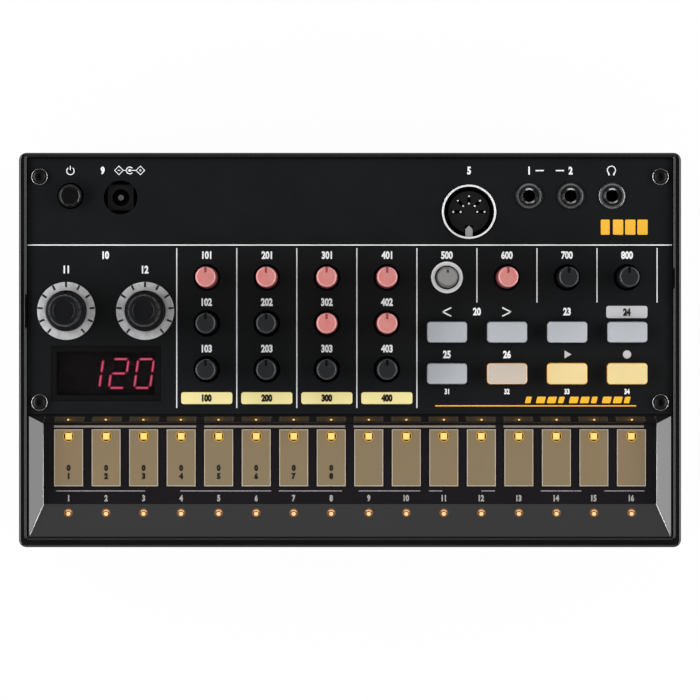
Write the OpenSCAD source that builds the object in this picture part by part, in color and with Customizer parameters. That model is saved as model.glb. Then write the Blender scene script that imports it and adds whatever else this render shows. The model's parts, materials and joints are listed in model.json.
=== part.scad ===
// Desktop drum machine with sixteen touch pads, modelled the way it comes apart on a bench.
// Lengths are in millimetres. X runs to the right, Y towards the sockets, Z up.
// The origin lies on the table, under the middle of the case.

/* [Case] */
// Radius of the upright corners
case_corner_r = 2.2; // [2:0.1:5]
// Rounding of the top and bottom edges
case_edge_r = 0.9; // [0.4:0.1:1]
// Thickness of the side walls
wall_t = 2; // [1.6:0.1:2.2]
// Thickness of the bottom case's floor
floor_t = 2; // [1.8:0.1:3]
// Height of the bottom case, from its floor to the seam
bottom_case_h = 19.6; // [18:0.2:22]
// Height of the open seam between the two cases
seam_gap = 0.4; // [0.2:0.1:1]
// Height of the lip that centres the top case on the bottom case
lip_h = 1.9; // [1:0.1:3]
// Thickness of that lip
lip_t = 1.2; // [0.8:0.1:1.4]
// Width of the rim at the two sides
rim_side_w = 2.35; // [2.3:0.05:4]
// Width of the rim at the back
rim_back_w = 1.5; // [1.2:0.1:3]
// Width of the rim at the front
rim_front_w = 2.5; // [2:0.05:5]
// Height of the rim above the control panel
rim_rise = 0.8; // [0.2:0.1:2]
// Thickness of the shelf that carries the control panel
shelf_t = 2; // [1.5:0.1:3]
// Width of that shelf at the two sides
shelf_side_w = 5.15; // [4:0.05:5.5]
// Width of that shelf at the back
shelf_back_w = 4; // [3:0.1:5]
// Width of that shelf at the front
shelf_front_w = 3.5; // [3:0.1:3.8]

/* [Touch board] */
// Depth of the tray below the control panel's face
tray_drop = 3; // [2:0.1:4]
// Width of the sloping side walls in plan
tray_side_run = 3.95; // [2:0.05:5]
// Width of the sloping front wall in plan
tray_front_run = 9.4; // [6:0.05:12]
// Width of the sloping back wall in plan
tray_back_run = 2.2; // [1:0.1:4]
// Flat land between the rim and the tray
tray_land = 0.6; // [0.2:0.1:1.5]
// Depth of the touch board, front to back
touch_board_depth = 23.5; // [22.5:0.5:26]
// Thickness of the touch board
touch_board_t = 1.6; // [1.2:0.1:2]
// Thickness of the ledge under the touch board
touch_ledge_t = 1.4; // [1:0.1:2]
// Width of that ledge
touch_ledge_w = 3; // [2:0.1:3.5]
// Number of touch pads
pad_count = 16; // [8:1:16]
// Touch board's ends beyond the outer pads' fields
pad_end_margin = 1.88; // [0.2:0.01:6]
// Width of a touch pad
pad_w = 8.4; // [6:0.1:9.2]
// Length of a touch pad
pad_l = 16.6; // [12:0.1:17]
// Thickness of a touch pad
pad_t = 0.2; // [0.1:0.05:0.4]
// Corner radius of a touch pad
pad_corner_r = 0.4; // [0.2:0.1:1]
// Pads' back edge to the board's back edge
pad_back_gap = 1.7; // [1:0.1:4]
// Light's centre to the pad's back edge
pad_light_inset = 2; // [1.8:0.1:3]
// Side of the square light
pad_light_w = 1.95; // [1.2:0.05:2.1]
// Height of the light
pad_light_h = 0.7; // [0.4:0.1:1]
// Diameter of the hole over the light
pad_hole_d = 2.8; // [2:0.1:3.2]

/* [Control panel] */
// Thickness of the control panel
panel_t = 1.5; // [1:0.1:2]
// Gap round the panel in its pocket
panel_gap = 0.15; // [0.05:0.05:0.3]
// Thickness of the land between panel and tray
bridge_t = 0.55; // [0.4:0.05:1.5]
// Main board's face to the panel's underside
panel_standoff = 10.8; // [10.4:0.1:14]
// Last column of controls to the right rim
column_inset = 13.4; // [12:0.1:14]
// Spacing of the eight columns
column_pitch = 17.5; // [16:0.1:17.7]
// Lowest row of knobs to the panel's front
knob_row_inset = 13.1; // [12.5:0.1:15]
// Spacing of the three rows of knobs
knob_row_pitch = 13.4; // [12.6:0.1:13.6]
// Lower row of buttons to the panel's front
button_row_inset = 11.85; // [10.4:0.05:12]
// Spacing of the two rows of buttons
button_row_pitch = 12.1; // [10.5:0.1:12.3]
// Diameter of the panel screws' heads
panel_screw_head_d = 4.5; // [4:0.1:5]
// Thread diameter of the panel screws
panel_screw_d = 2.5; // [2:0.1:2.6]
// Height of the panel screws' heads
panel_screw_head_h = 1.4; // [1:0.1:2]
// Length of the panel screws under the head
panel_screw_l = 6.5; // [5:0.1:8]
// Panel screws to the side rims
panel_screw_side_inset = 3.65; // [3:0.05:4.5]
// Rear panel screws to the back rim
panel_screw_back_inset = 5.5; // [3:0.1:7]
// Front panel screws to the panel's front
panel_screw_front_inset = 3.45; // [3:0.05:5]

/* [Small knobs] */
// Height of the knobs above the panel
knob_rise = 10.5; // [6:0.5:14]
// Diameter of a small knob at its base
knob_d = 6.4; // [5:0.1:6.6]
// How much a small knob narrows from its base to its top, on the radius
knob_taper = 0.3; // [0:0.05:0.6]
// Diameter of the panel hole round a small knob
knob_hole_d = 7.8; // [7.2:0.1:9]
// Diameter of its stem
knob_stem_d = 3; // [2:0.1:4]
// Length of its stem
knob_stem_l = 5.8; // [3:0.1:6]
// Bevel round its top
knob_bevel = 0.4; // [0.2:0.1:0.8]
// Length of the pointer notch
knob_notch_l = 1.7; // [1:0.1:2.5]
// Width of the pointer notch
knob_notch_w = 0.6; // [0.4:0.1:1]
// Depth of the pointer notch
knob_notch_h = 0.5; // [0.3:0.1:1]
// Side of a small potentiometer's body
pot_w = 9; // [8:0.1:9.5]
// Height of a small potentiometer's body
pot_h = 7; // [6.5:0.1:7.5]
// Diameter of its collar
pot_collar_d = 5; // [4.6:0.1:6]
// Height of its collar
pot_collar_h = 1.3; // [0.8:0.1:1.6]
// Outer diameter of the speed knob's ring
speed_ring_d = 9.2; // [8.4:0.1:11]
// Inner diameter of that ring
speed_ring_bore_d = 6.9; // [6.7:0.05:8]
// Height of that ring above the panel
speed_ring_h = 0.6; // [0.3:0.1:1.2]

/* [Dials] */
// Diameter of a dial knob's skirt
dial_d = 11.4; // [10:0.1:12.5]
// Height of the skirt's straight side
dial_skirt_h = 3.4; // [1:0.1:4.5]
// Shoulder of the skirt
dial_shoulder = 0.8; // [0.3:0.1:1]
// Diameter of a dial knob's top
dial_top_d = 8.4; // [7:0.1:9.8]
// Diameter of its stem
dial_stem_d = 6; // [4:0.1:6.5]
// Length of its stem
dial_stem_l = 7.4; // [5:0.1:8]
// Depth of the dish in its top
dial_dish = 0.35; // [0.1:0.05:0.8]
// Width of the raised edge round the dish
dial_edge_w = 0.9; // [0.5:0.1:1.5]
// Depth of the pointer notch in its skirt
dial_notch_l = 0.6; // [0.3:0.1:1.5]
// Width of its pointer notch
dial_notch_w = 0.8; // [0.4:0.1:1.2]
// Outer diameter of the scale ring
dial_ring_d = 16.85; // [15:0.05:19]
// Inner diameter of the scale ring
dial_ring_bore_d = 12; // [11.8:0.05:14]
// Height of the scale ring above the panel
dial_ring_h = 0.8; // [0.4:0.1:1.5]
// Number of scale ticks
tick_count = 11; // [5:1:15]
// Angle from the first tick to the last
tick_sweep = 280; // [180:5:300]
// Length of a tick
tick_l = 1.6; // [0.8:0.1:2]
// Width of a tick
tick_w = 0.45; // [0.3:0.05:0.8]
// Depth of a tick
tick_h = 0.2; // [0.1:0.05:0.3]
// Left dial to the left rim
dial_inset = 11.45; // [10.5:0.05:12]
// Spacing of the two dials
dial_pitch = 23; // [20:0.5:24]
// Right dial to the first column of small knobs
dial_column_pitch = 17.95; // [17:0.05:22]
// Dials to the panel's front
dial_row_inset = 30.15; // [29:0.05:36]
// Side of a large potentiometer's body
large_pot_w = 11; // [10:0.1:12]
// Height of a large potentiometer's body
large_pot_h = 8; // [6:0.1:8.4]
// Diameter of its collar
large_pot_collar_d = 8; // [7.5:0.1:9]
// Height of its collar
large_pot_collar_h = 1.5; // [1:0.1:1.8]

/* [Buttons] */
// Length of a button's cap
button_l = 11.6; // [10:0.1:13]
// Width of a button's cap
button_w = 6.05; // [5:0.05:7]
// Corner radius of the cap
button_corner_r = 1; // [0.4:0.1:1.5]
// Height of the cap above the panel
button_rise = 1.8; // [1.2:0.1:3]
// Travel of a button
button_travel = 0.9; // [0.4:0.1:1.1]
// Width of the flange that keeps a button under the panel
button_flange_w = 0.75; // [0.5:0.05:1]
// Thickness of that flange
button_flange_t = 1.2; // [0.8:0.1:1.6]
// Diameter of a button's stem
button_stem_d = 3; // [2:0.1:3.2]
// How far the stem stands in its switch at rest
button_stem_depth = 1.2; // [0.6:0.1:1.4]
// Side of a button switch
switch_w = 6; // [5:0.1:6.5]
// Height of a button switch
switch_h = 4; // [3.6:0.1:5]
// Diameter of the power button
power_d = 6.8; // [5:0.1:7]
// Height of the power button above the panel
power_rise = 2.6; // [2.2:0.1:4]
// Travel of the power button
power_travel = 2; // [1:0.1:2.1]
// Width of the power button's flange
power_flange_w = 0.9; // [0.5:0.1:1.2]
// Side of the power switch's body
power_switch_w = 8; // [7:0.1:9]
// Height of the power switch's body
power_switch_h = 6.6; // [5:0.1:7]
// How far the power button's stem stands in its switch at rest
power_stem_depth = 2.2; // [1:0.1:2.3]
// Power button to the left rim
power_inset = 12.65; // [11:0.05:14]
// Power button, and the small sockets, to the back rim
socket_row_inset = 11.1; // [10:0.1:14]

/* [Sockets] */
// Outer diameter of the round data socket's shell
data_shell_d = 15.8; // [15:0.1:17]
// Thickness of the shell
data_shell_t = 0.55; // [0.5:0.05:0.9]
// Diameter of its insulator
data_insulator_d = 12.1; // [11:0.1:12.5]
// Radius of the row of contacts
data_contact_r = 3.5; // [3:0.1:4]
// Thickness of each of a contact's two leaves
data_leaf_d = 0.75; // [0.6:0.05:0.85]
// Way between the two leaves, for a pin of the plug
data_leaf_gap = 1.45; // [1.2:0.05:1.5]
// Width of the key in the shell
data_key_w = 2.1; // [1.5:0.1:3]
// Radius at the key's tip
data_key_tip_r = 4; // [3.9:0.1:5]
// Data socket to the first small socket
data_jack_pitch = 17.5; // [15:0.05:20]
// Data socket to the back rim
data_back_inset = 15.7; // [14:0.1:17]
// Data socket to the upper row of small knobs
data_row_pitch = 19.15; // [18:0.05:24]
// Diameter of a small socket's collar
jack_collar_d = 7.7; // [7:0.1:8.5]
// Bore of a small socket, for a 3.5 mm plug
jack_bore_d = 3.6; // [3.55:0.05:3.8]
// Depth of that bore
jack_bore_l = 12; // [10:0.1:12.4]
// Side of a small socket's body
jack_body_w = 9; // [8.5:0.1:10]
// Height of a socket's collar above the panel
jack_rise = 0.4; // [0.2:0.1:1.5]
// Last small socket to the right rim
jack_inset = 17.75; // [15:0.05:20]
// Spacing of the small sockets
jack_pitch = 12.1; // [11.5:0.1:13]
// Diameter of the panel hole over the power socket
dc_hole_d = 9.9; // [8:0.1:10.4]
// Side of the power socket's body
dc_body_w = 7.5; // [7:0.1:9]
// Diameter of the power socket's mouth
dc_bore_d = 5; // [4.6:0.1:5.5]
// Depth of the power socket's mouth
dc_bore_l = 9; // [8:0.1:9.6]
// Diameter of its centre pin
dc_pin_d = 1.65; // [1.3:0.05:2.1]
// Length of its centre pin
dc_pin_l = 8; // [6:0.1:8]
// Power socket to the left rim
dc_inset = 27.25; // [25:0.05:30]
// Power socket to the back rim
dc_back_inset = 11.5; // [10:0.1:14]

/* [Display] */
// Length of the display window
window_l = 31.8; // [30.5:0.1:33]
// Width of the display window
window_w = 15.9; // [14:0.1:16.2]
// Thickness of the display window
window_t = 1; // [0.6:0.1:1.2]
// Width of the ledge under the window
window_ledge_w = 1; // [0.6:0.1:1.4]
// Display window to the panel's front
window_row_inset = 11.9; // [11.5:0.05:13]
// Height of a digit
digit_h = 9.3; // [6:0.1:10.5]
// Width of a digit
digit_w = 5.5; // [4:0.1:5.8]
// Spacing of the digits
digit_pitch = 7.4; // [6.6:0.1:7.5]
// Slant of the digits, in degrees
digit_slant = 8; // [0:1:12]
// Width of a digit's segments
segment_w = 0.9; // [0.5:0.1:1.2]
// Gap between a digit's segments
segment_gap = 0.3; // [0.2:0.05:0.5]
// Thickness of the segments
segment_t = 0.3; // [0.2:0.1:0.4]
// Side wall of the display module
module_wall = 0.4; // [0.3:0.1:0.6]
// Gap between the digits and the window
module_gap = 0.3; // [0.2:0.1:0.4]

/* [Boards and screws] */
// Thickness of the main board
board_t = 1.6; // [1.2:0.1:2]
// Main board to the case's sides
board_side_inset = 4.5; // [4:0.1:5]
// Main board to the case's back
board_back_inset = 3.9; // [3.6:0.1:6]
// Height of the gap under the main board
board_gap = 0.6; // [0.3:0.1:1.5]
// Length of the case screws under the head
case_screw_l = 24; // [20:0.5:24.2]
// Thread diameter of the case screws
case_screw_d = 3; // [2.5:0.1:3.2]
// Head diameter of the case screws
case_screw_head_d = 5.2; // [4.5:0.1:5.6]
// Head height of the case screws
case_screw_head_h = 2; // [1.5:0.1:2.4]
// How deep the case screws' heads are sunk
case_screw_sink = 2; // [1:0.1:2.5]
// Diameter of the screw pillars in the bottom case
pillar_d = 8.4; // [7.4:0.1:9]
// Diameter of the screw bosses in the top case
boss_d = 5.6; // [5:0.1:6]
// Side case screws to the case's sides
side_screw_inset = 10.5; // [9:0.1:11]
// Side case screws to the case's back
side_screw_back_inset = 27.5; // [26:0.5:30]
// Front case screws to the case's sides
front_screw_inset = 24; // [22:0.5:30]
// Front case screws to the case's front
front_screw_front_inset = 8; // [7.8:0.1:9]
// Side of an indicator light
lamp_w = 1.4; // [0.8:0.1:1.8]
// Height of an indicator light
lamp_h = 0.8; // [0.4:0.1:1.2]
// Width of the ribbon cable
ribbon_w = 14; // [8:0.5:20]
// Thickness of the ribbon cable
ribbon_t = 0.5; // [0.3:0.1:0.8]

/* [Batteries, speaker and feet] */
// Diameter of an AA cell
cell_d = 14.5; // [13.5:0.1:14.6]
// Length of an AA cell, button included
cell_l = 50.5; // [49:0.1:50.8]
// Number of cells
cell_count = 6; // [4:1:6]
// Spacing of the cells
cell_pitch = 15; // [14.7:0.1:15.1]
// Room above and below the cells
cell_gap = 0.35; // [0.2:0.05:0.8]
// Room between each end of a cell and the bay
cell_end_gap = 1.6; // [1:0.1:1.8]
// Thickness of the contact plates
contact_t = 0.4; // [0.3:0.1:0.6]
// Thickness of the bay's walls and roof
bay_t = 1.2; // [1:0.1:1.4]
// Thickness of the battery cover
cover_t = 1.6; // [1.4:0.1:2.4]
// Width of the cover's tongues, which run in the rails
tongue_w = 1.5; // [1:0.1:2]
// Thickness of the tongues
tongue_t = 0.7; // [0.5:0.1:0.9]
// How far the tongues reach under the bay's walls
tongue_reach = 0.65; // [0.4:0.05:0.9]
// Running clearance of the battery cover
cover_gap = 0.25; // [0.15:0.05:0.3]
// Number of grip ridges on the cover
grip_count = 4; // [2:1:6]
// Diameter of the speaker
speaker_d = 36; // [28:1:36]
// Height of the speaker, magnet included
speaker_h = 12; // [9:0.5:15]
// Speaker's centre to the case's back
speaker_back_inset = 47.5; // [45:0.5:60]
// Number of grille slots
slot_count = 9; // [3:2:9]
// Width of a grille slot
slot_w = 1.5; // [1:0.1:2]
// Spacing of the grille slots
slot_pitch = 3.2; // [2.6:0.1:3.4]
// Diameter of a rubber foot
foot_d = 10; // [8:0.5:14]
// Height of a rubber foot
foot_h = 2; // [1.6:0.1:4]
// Feet to the case's sides
foot_side_inset = 11.5; // [8:0.5:14]
// Feet to the case's front and back
foot_end_inset = 12.5; // [8:0.5:14]

/* [Hidden] */
$fn = 48;

// Clearances
shaft_gap = 0.05;    // running fit of a stem in its collar, on the radius
seat_gap = 0.3;      // between a moving piece and what it rests over
button_gap = 0.2;    // round a button in its panel opening
thread_gap = 0.05;   // round a screw in its thread, on the radius
screw_gap = 0.2;     // round a screw in a plain hole, on the radius
fit_gap = 0.1;       // round a fixed piece in its opening
overcut = 1;         // how far a cut runs past the face that it opens

// Heights, from the table up
base_z = foot_h;
floor_z = base_z + floor_t;
seam_z = base_z + bottom_case_h;
top_case_z = seam_z + seam_gap;
cover_z = base_z + cover_t;
cell_z = cover_z + cell_gap + cell_d / 2;
bay_roof_z = cell_z + cell_d / 2 + cell_gap;
board_z = bay_roof_z + bay_t + board_gap;
board_top = board_z + board_t;
panel_z = board_top + panel_standoff;
panel_top = panel_z + panel_t;
rim_top = panel_top + rim_rise;
knob_top = panel_top + knob_rise;
shelf_z = panel_z - shelf_t;
tray_z = panel_top - tray_drop;
touch_board_z = tray_z - touch_board_t;
cavity_top = touch_board_z - touch_ledge_t;

// Plan of the top: the rows of controls and the tray give the case's size, then come the field
// inside the rim, the tray and the panel's pocket
last_column = 7;
row_length = dial_inset + dial_pitch + dial_column_pitch + last_column * column_pitch + column_inset;
panel_depth = knob_row_inset + 2 * knob_row_pitch + data_row_pitch + data_back_inset;
tray_depth = tray_land + tray_front_run + touch_board_depth + tray_back_run;
case_length = row_length + 2 * rim_side_w;
case_depth = rim_front_w + tray_depth + bridge_t + panel_depth + rim_back_w;
field_x = row_length / 2;
field_front = rim_front_w - case_depth / 2;
field_back = case_depth / 2 - rim_back_w;
tray_x = field_x - tray_land;
tray_front = field_front + tray_land;
touch_x = tray_x - tray_side_run;
pad_pitch = 2 * (touch_x - pad_end_margin) / pad_count;
touch_front = tray_front + tray_front_run;
touch_back = touch_front + touch_board_depth;
tray_back = touch_back + tray_back_run;
panel_front = tray_back + bridge_t;
inner_x = case_length / 2 - wall_t;
inner_y = case_depth / 2 - wall_t;
lip_x = inner_x - fit_gap;
lip_y = inner_y - fit_gap;

// Places of the controls
dial_x = dial_inset - field_x;
dial_y = panel_front + dial_row_inset;
window_x = dial_x + dial_pitch / 2;
window_y = panel_front + window_row_inset;
power_pos = [power_inset - field_x, field_back - socket_row_inset];
dc_pos = [dc_inset - field_x, field_back - dc_back_inset];
data_pos = [jack_x(0) - data_jack_pitch, field_back - data_back_inset];
button_size = [button_l, button_w];
button_opening = button_size + 2 * [button_gap, button_gap];
small_knob_places = concat(
    [for (column = [0 : 3], row = [0 : 2]) [column, row]],
    [for (column = [4 : 7]) [column, 0]]
);
button_places = [for (column = [4 : 7], row = [0, 1]) [column, row]];
panel_screw_places = [
    for (side = [-1, 1], y = [field_back - panel_screw_back_inset, panel_front + panel_screw_front_inset])
        [side * (field_x - panel_screw_side_inset), y]
];

// Screws through the whole case: two at the sides and two behind the tray, which clamp the main
// board, and two in front
side_screw_places = [
    for (side = [-1, 1])
        [side * (case_length / 2 - side_screw_inset), case_depth / 2 - side_screw_back_inset]
];
middle_screw_places = [
    for (column = [-0.5, 5.5])
        [column_x(column), panel_front + boss_d / 2]
];
front_screw_places = [
    for (side = [-1, 1])
        [side * (case_length / 2 - front_screw_inset), front_screw_front_inset - case_depth / 2]
];
board_screw_places = concat(side_screw_places, middle_screw_places);
case_screw_places = concat(board_screw_places, front_screw_places);
screw_seat_z = base_z + case_screw_sink + case_screw_head_h;
screw_end_z = screw_seat_z + case_screw_l;

// Battery bay
cell_back = inner_y - cell_end_gap;
cell_front = cell_back - cell_l;
bay_front = cell_front - cell_end_gap;
bay_x = (cell_count - 1) / 2 * cell_pitch + cell_d / 2 + cell_gap * 2;
cover_x = bay_x + tongue_reach - tongue_w;
tongue_x = cover_x + tongue_w;
speaker_pos = [-(tongue_x + inner_x) / 2, case_depth / 2 - speaker_back_inset];

// Potentiometers and switches, from the main board up
pot_top = board_top + pot_h + pot_collar_h;
large_pot_top = board_top + large_pot_h + large_pot_collar_h;
stem_foot_room = 0.4;
web_t = 2;
ribbon_plug = 2;
data_base_h = 2.4;
data_contact_count = 5;
speaker_flange_h = 1.2;
cell_button_d = 5.4;
cell_button_h = 1;
switch_top = board_top + switch_h;
switch_well = button_stem_depth + button_travel + stem_foot_room;
power_switch_top = board_top + power_switch_h;
power_switch_well = power_stem_depth + power_travel + stem_foot_room;
jack_top = panel_top + jack_rise;
window_z = panel_top - window_t;
module_top = panel_z - module_gap - segment_t;

function column_x(column) = field_x - column_inset + (column - last_column) * column_pitch;
function knob_row_y(row) = panel_front + knob_row_inset + (2 - row) * knob_row_pitch;
function button_row_y(row) = panel_front + button_row_inset + (1 - row) * button_row_pitch;
function knob_pos(place) = [column_x(place[0]), knob_row_y(place[1])];
function button_pos(place) = [column_x(place[0]), button_row_y(place[1])];
function jack_x(index) = field_x - jack_inset - (2 - index) * jack_pitch;
function jack_pos(index) = [jack_x(index), field_back - socket_row_inset];
function pad_x(index) = (index - (pad_count - 1) / 2) * pad_pitch;
function slanted(point) = [point[0] + point[1] * tan(digit_slant), point[1]];

// ---- Shapes that repeat ----

module rounded_rect(size, r) {
    square([size[0] - 2 * r, size[1]], center = true);
    square([size[0], size[1] - 2 * r], center = true);
    for (x = [-1, 1], y = [-1, 1])
        translate([x * (size[0] / 2 - r), y * (size[1] / 2 - r)])
            circle(r);
}

// Block about the origin, given by its half sizes
module centred_block(x, y, z0, z1) {
    block([-x, -y], [x, y], z0, z1);
}

// Block on a rectangle given by two opposite corners
module block(from, to, z0, z1) {
    translate([from[0], from[1], z0])
        cube([to[0] - from[0], to[1] - from[1], z1 - z0]);
}

module at(places, z = 0) {
    for (place = places)
        translate([place[0], place[1], z])
            children();
}

// Cross section of a slab whose two upper edges are rounded
module edge_section(width, height, edge_r) {
    translate([-width / 2, 0])
        square([width, height - edge_r]);
    translate([edge_r - width / 2, 0])
        square([width - 2 * edge_r, height]);
    for (side = [-1, 1])
        translate([side * (width / 2 - edge_r), height - edge_r])
            circle(edge_r);
}

// Slab with round upright corners and rounded upper edges, standing on z = 0
module slab(length, depth, height, corner_r, edge_r) {
    rotate([90, 0, 90])
        linear_extrude(length - 2 * corner_r, center = true)
            edge_section(depth, height, edge_r);
    rotate([90, 0, 0])
        linear_extrude(depth - 2 * corner_r, center = true)
            edge_section(length, height, edge_r);
    for (x = [-1, 1], y = [-1, 1])
        translate([x * (length / 2 - corner_r), y * (depth / 2 - corner_r)])
            rotate_extrude() {
                square([corner_r, height - edge_r]);
                square([corner_r - edge_r, height]);
                translate([corner_r - edge_r, height - edge_r])
                    circle(edge_r);
            }
}

module ring(outer_d, inner_d, height) {
    difference() {
        cylinder(d = outer_d, h = height);
        translate([0, 0, -overcut])
            cylinder(d = inner_d, h = height + 2 * overcut);
    }
}

// Tray with sloping walls, from a floor rectangle up to a wider mouth; each is [x, front, back]
module tray_cut(bottom, mouth, z0, z1) {
    polyhedron(
        points = [
            [-bottom[0], bottom[1], z0], [bottom[0], bottom[1], z0],
            [bottom[0], bottom[2], z0], [-bottom[0], bottom[2], z0],
            [-mouth[0], mouth[1], z1], [mouth[0], mouth[1], z1],
            [mouth[0], mouth[2], z1], [-mouth[0], mouth[2], z1]
        ],
        faces = [
            [0, 1, 2, 3], [7, 6, 5, 4], [0, 4, 5, 1],
            [1, 5, 6, 2], [2, 6, 7, 3], [3, 7, 4, 0]
        ]
    );
}

// ---- Case ----

module top_case() {
    color("#141415")
    difference() {
        union() {
            top_case_shell();
            top_case_bosses();
        }
        at(case_screw_places, top_case_z - overcut)
            cylinder(d = case_screw_d + 2 * thread_gap, h = screw_end_z + seat_gap - top_case_z + overcut);
        at(panel_screw_places, panel_top - panel_screw_l - seat_gap)
            cylinder(d = panel_screw_d + 2 * thread_gap, h = panel_screw_l + overcut);
    }
}

module top_case_shell() {
    difference() {
        translate([0, 0, top_case_z])
            slab(case_length, case_depth, rim_top - top_case_z, case_corner_r, case_edge_r);
        // field inside the rim
        block([-field_x, field_front], [field_x, field_back], panel_top, rim_top + overcut);
        // pocket of the control panel, and the window in the shelf below it
        block([-field_x, panel_front], [field_x, field_back], panel_z, rim_top);
        block(
            [shelf_side_w - field_x, panel_front + shelf_front_w],
            [field_x - shelf_side_w, field_back - shelf_back_w],
            shelf_z - overcut, panel_top
        );
        // tray of the touch board, the board's pocket and the window below it
        tray_cut(
            [touch_x, touch_front, touch_back], [tray_x, tray_front, tray_back],
            tray_z, panel_top
        );
        block([-touch_x, touch_front], [touch_x, touch_back], touch_board_z, tray_z);
        block(
            [touch_ledge_w - touch_x, touch_front + touch_ledge_w],
            [touch_x - touch_ledge_w, touch_back - touch_ledge_w],
            cavity_top - overcut, touch_board_z
        );
        // hollow of the case, higher behind the tray
        block([-inner_x, -inner_y], [inner_x, inner_y], top_case_z - overcut, cavity_top);
        block([-inner_x, tray_back + wall_t / 2], [inner_x, inner_y], top_case_z, shelf_z);
    }
}

module top_case_bosses() {
    at(board_screw_places, board_top)
        cylinder(d = boss_d, h = panel_z - board_top);
    at(front_screw_places, seam_z + seam_gap)
        cylinder(d = boss_d, h = cavity_top - seam_z);
    at(panel_screw_places, panel_top - panel_screw_l - seat_gap)
        cylinder(d = 2 * panel_screw_d, h = panel_z - panel_top + panel_screw_l + seat_gap);
    // webs from the side bosses to the walls
    for (side = [0, 1])
        mirror([1 - side, 0, 0])
            block(
                [side_screw_places[1][0] + boss_d / 3, side_screw_places[1][1] - web_t / 2],
                [inner_x + wall_t / 2, side_screw_places[1][1] + web_t / 2],
                seam_z + lip_h + web_t, panel_z
            );
}

module bottom_case() {
    color("#161617")
    difference() {
        union() {
            bottom_case_tray();
            battery_bay();
            at(board_screw_places, base_z)
                cylinder(d = pillar_d, h = board_z - base_z);
            at(front_screw_places, base_z)
                cylinder(d = pillar_d, h = seam_z - base_z);
        }
        battery_opening();
        at(case_screw_places, base_z - overcut)
            cylinder(d = case_screw_head_d + 2 * screw_gap, h = screw_seat_z - base_z + overcut);
        at(case_screw_places, base_z)
            cylinder(d = case_screw_d + 2 * screw_gap, h = board_z - base_z + overcut);
        speaker_grille();
    }
}

module bottom_case_tray() {
    difference() {
        translate([0, 0, seam_z])
            mirror([0, 0, 1])
                slab(case_length, case_depth, seam_z - base_z, case_corner_r, case_edge_r);
        block([-inner_x, -inner_y], [inner_x, inner_y], floor_z, seam_z + overcut);
    }
    // lip that stands up inside the top case, on a band along the walls
    difference() {
        union() {
            centred_block(inner_x + fit_gap, inner_y + fit_gap, seam_z - 2 * lip_t, seam_z);
            centred_block(lip_x, lip_y, seam_z - lip_t, seam_z + lip_h);
        }
        centred_block(lip_x - lip_t, lip_y - lip_t, seam_z - 3 * lip_t, seam_z + lip_h + overcut);
    }
}

// Walls and roof round the cells
module battery_bay() {
    difference() {
        block(
            [-bay_x - bay_t, bay_front - bay_t], [bay_x + bay_t, inner_y + wall_t / 2],
            floor_z - floor_t / 2, bay_roof_z + bay_t
        );
        block([-bay_x, bay_front], [bay_x, inner_y], base_z, bay_roof_z);
    }
}

// Way through the floor for the cells and the sliding cover, open at the back
module battery_opening() {
    block([-bay_x, bay_front], [bay_x, inner_y], cover_z + cover_gap, bay_roof_z);
    block(
        [-cover_x - cover_gap, bay_front - cover_gap],
        [cover_x + cover_gap, case_depth / 2 + overcut],
        base_z - overcut, cover_z + cover_gap
    );
    block(
        [-tongue_x - cover_gap, bay_front - cover_gap],
        [tongue_x + cover_gap, case_depth / 2 + overcut],
        cover_z - tongue_t - cover_gap, cover_z + cover_gap
    );
}

module speaker_grille() {
    middle = (slot_count - 1) / 2;
    for (slot = [0 : slot_count - 1]) {
        offset_x = (slot - middle) * slot_pitch;
        slot_l = 2 * sqrt(pow(speaker_d * 0.42, 2) - pow(offset_x, 2));
        translate([speaker_pos[0] + offset_x, speaker_pos[1], base_z])
            cube([slot_w, slot_l, 2 * (floor_t + overcut)], center = true);
    }
}

module battery_cover() {
    color("#1b1b1c") {
        block([-cover_x, bay_front], [cover_x, case_depth / 2 - cover_gap], base_z, cover_z);
        block([-tongue_x, bay_front], [tongue_x, case_depth / 2 - wall_t], cover_z - tongue_t, cover_z);
        for (ridge = [0 : grip_count - 1])
            translate([0, case_depth / 2 - wall_t - (ridge + 1) * 2 * cover_t, base_z])
                cube([cover_x / 2, cover_t / 2, cover_t / 2], center = true);
    }
}

module rubber_feet() {
    color("#242424")
    for (x = [-1, 1], y = [-1, 1])
        translate([x * (case_length / 2 - foot_side_inset), y * (case_depth / 2 - foot_end_inset)])
            cylinder(d = foot_d, h = foot_h);
}

// Long screws with flat heads, driven from below
module case_screws() {
    color("#8c8c8e")
    at(case_screw_places, screw_seat_z - case_screw_head_h)
        difference() {
            union() {
                cylinder(d = case_screw_head_d, h = case_screw_head_h);
                cylinder(d = case_screw_d, h = case_screw_head_h + case_screw_l);
            }
            translate([0, 0, -overcut])
                cylinder(d = case_screw_d, h = case_screw_head_h / 2 + overcut, $fn = 6);
        }
}

// ---- Control panel ----

module control_panel() {
    color("#1c1d1e")
    difference() {
        block(
            [panel_gap - field_x, panel_front + panel_gap],
            [field_x - panel_gap, field_back - panel_gap],
            panel_z, panel_top
        );
        translate([0, 0, panel_z - overcut])
            linear_extrude(panel_t + 2 * overcut)
                panel_holes();
        // pocket of the display window, on its ledge
        translate([window_x, window_y, window_z])
            linear_extrude(window_t + overcut)
                square([window_l + 2 * fit_gap, window_w + 2 * fit_gap], center = true);
    }
}

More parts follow.
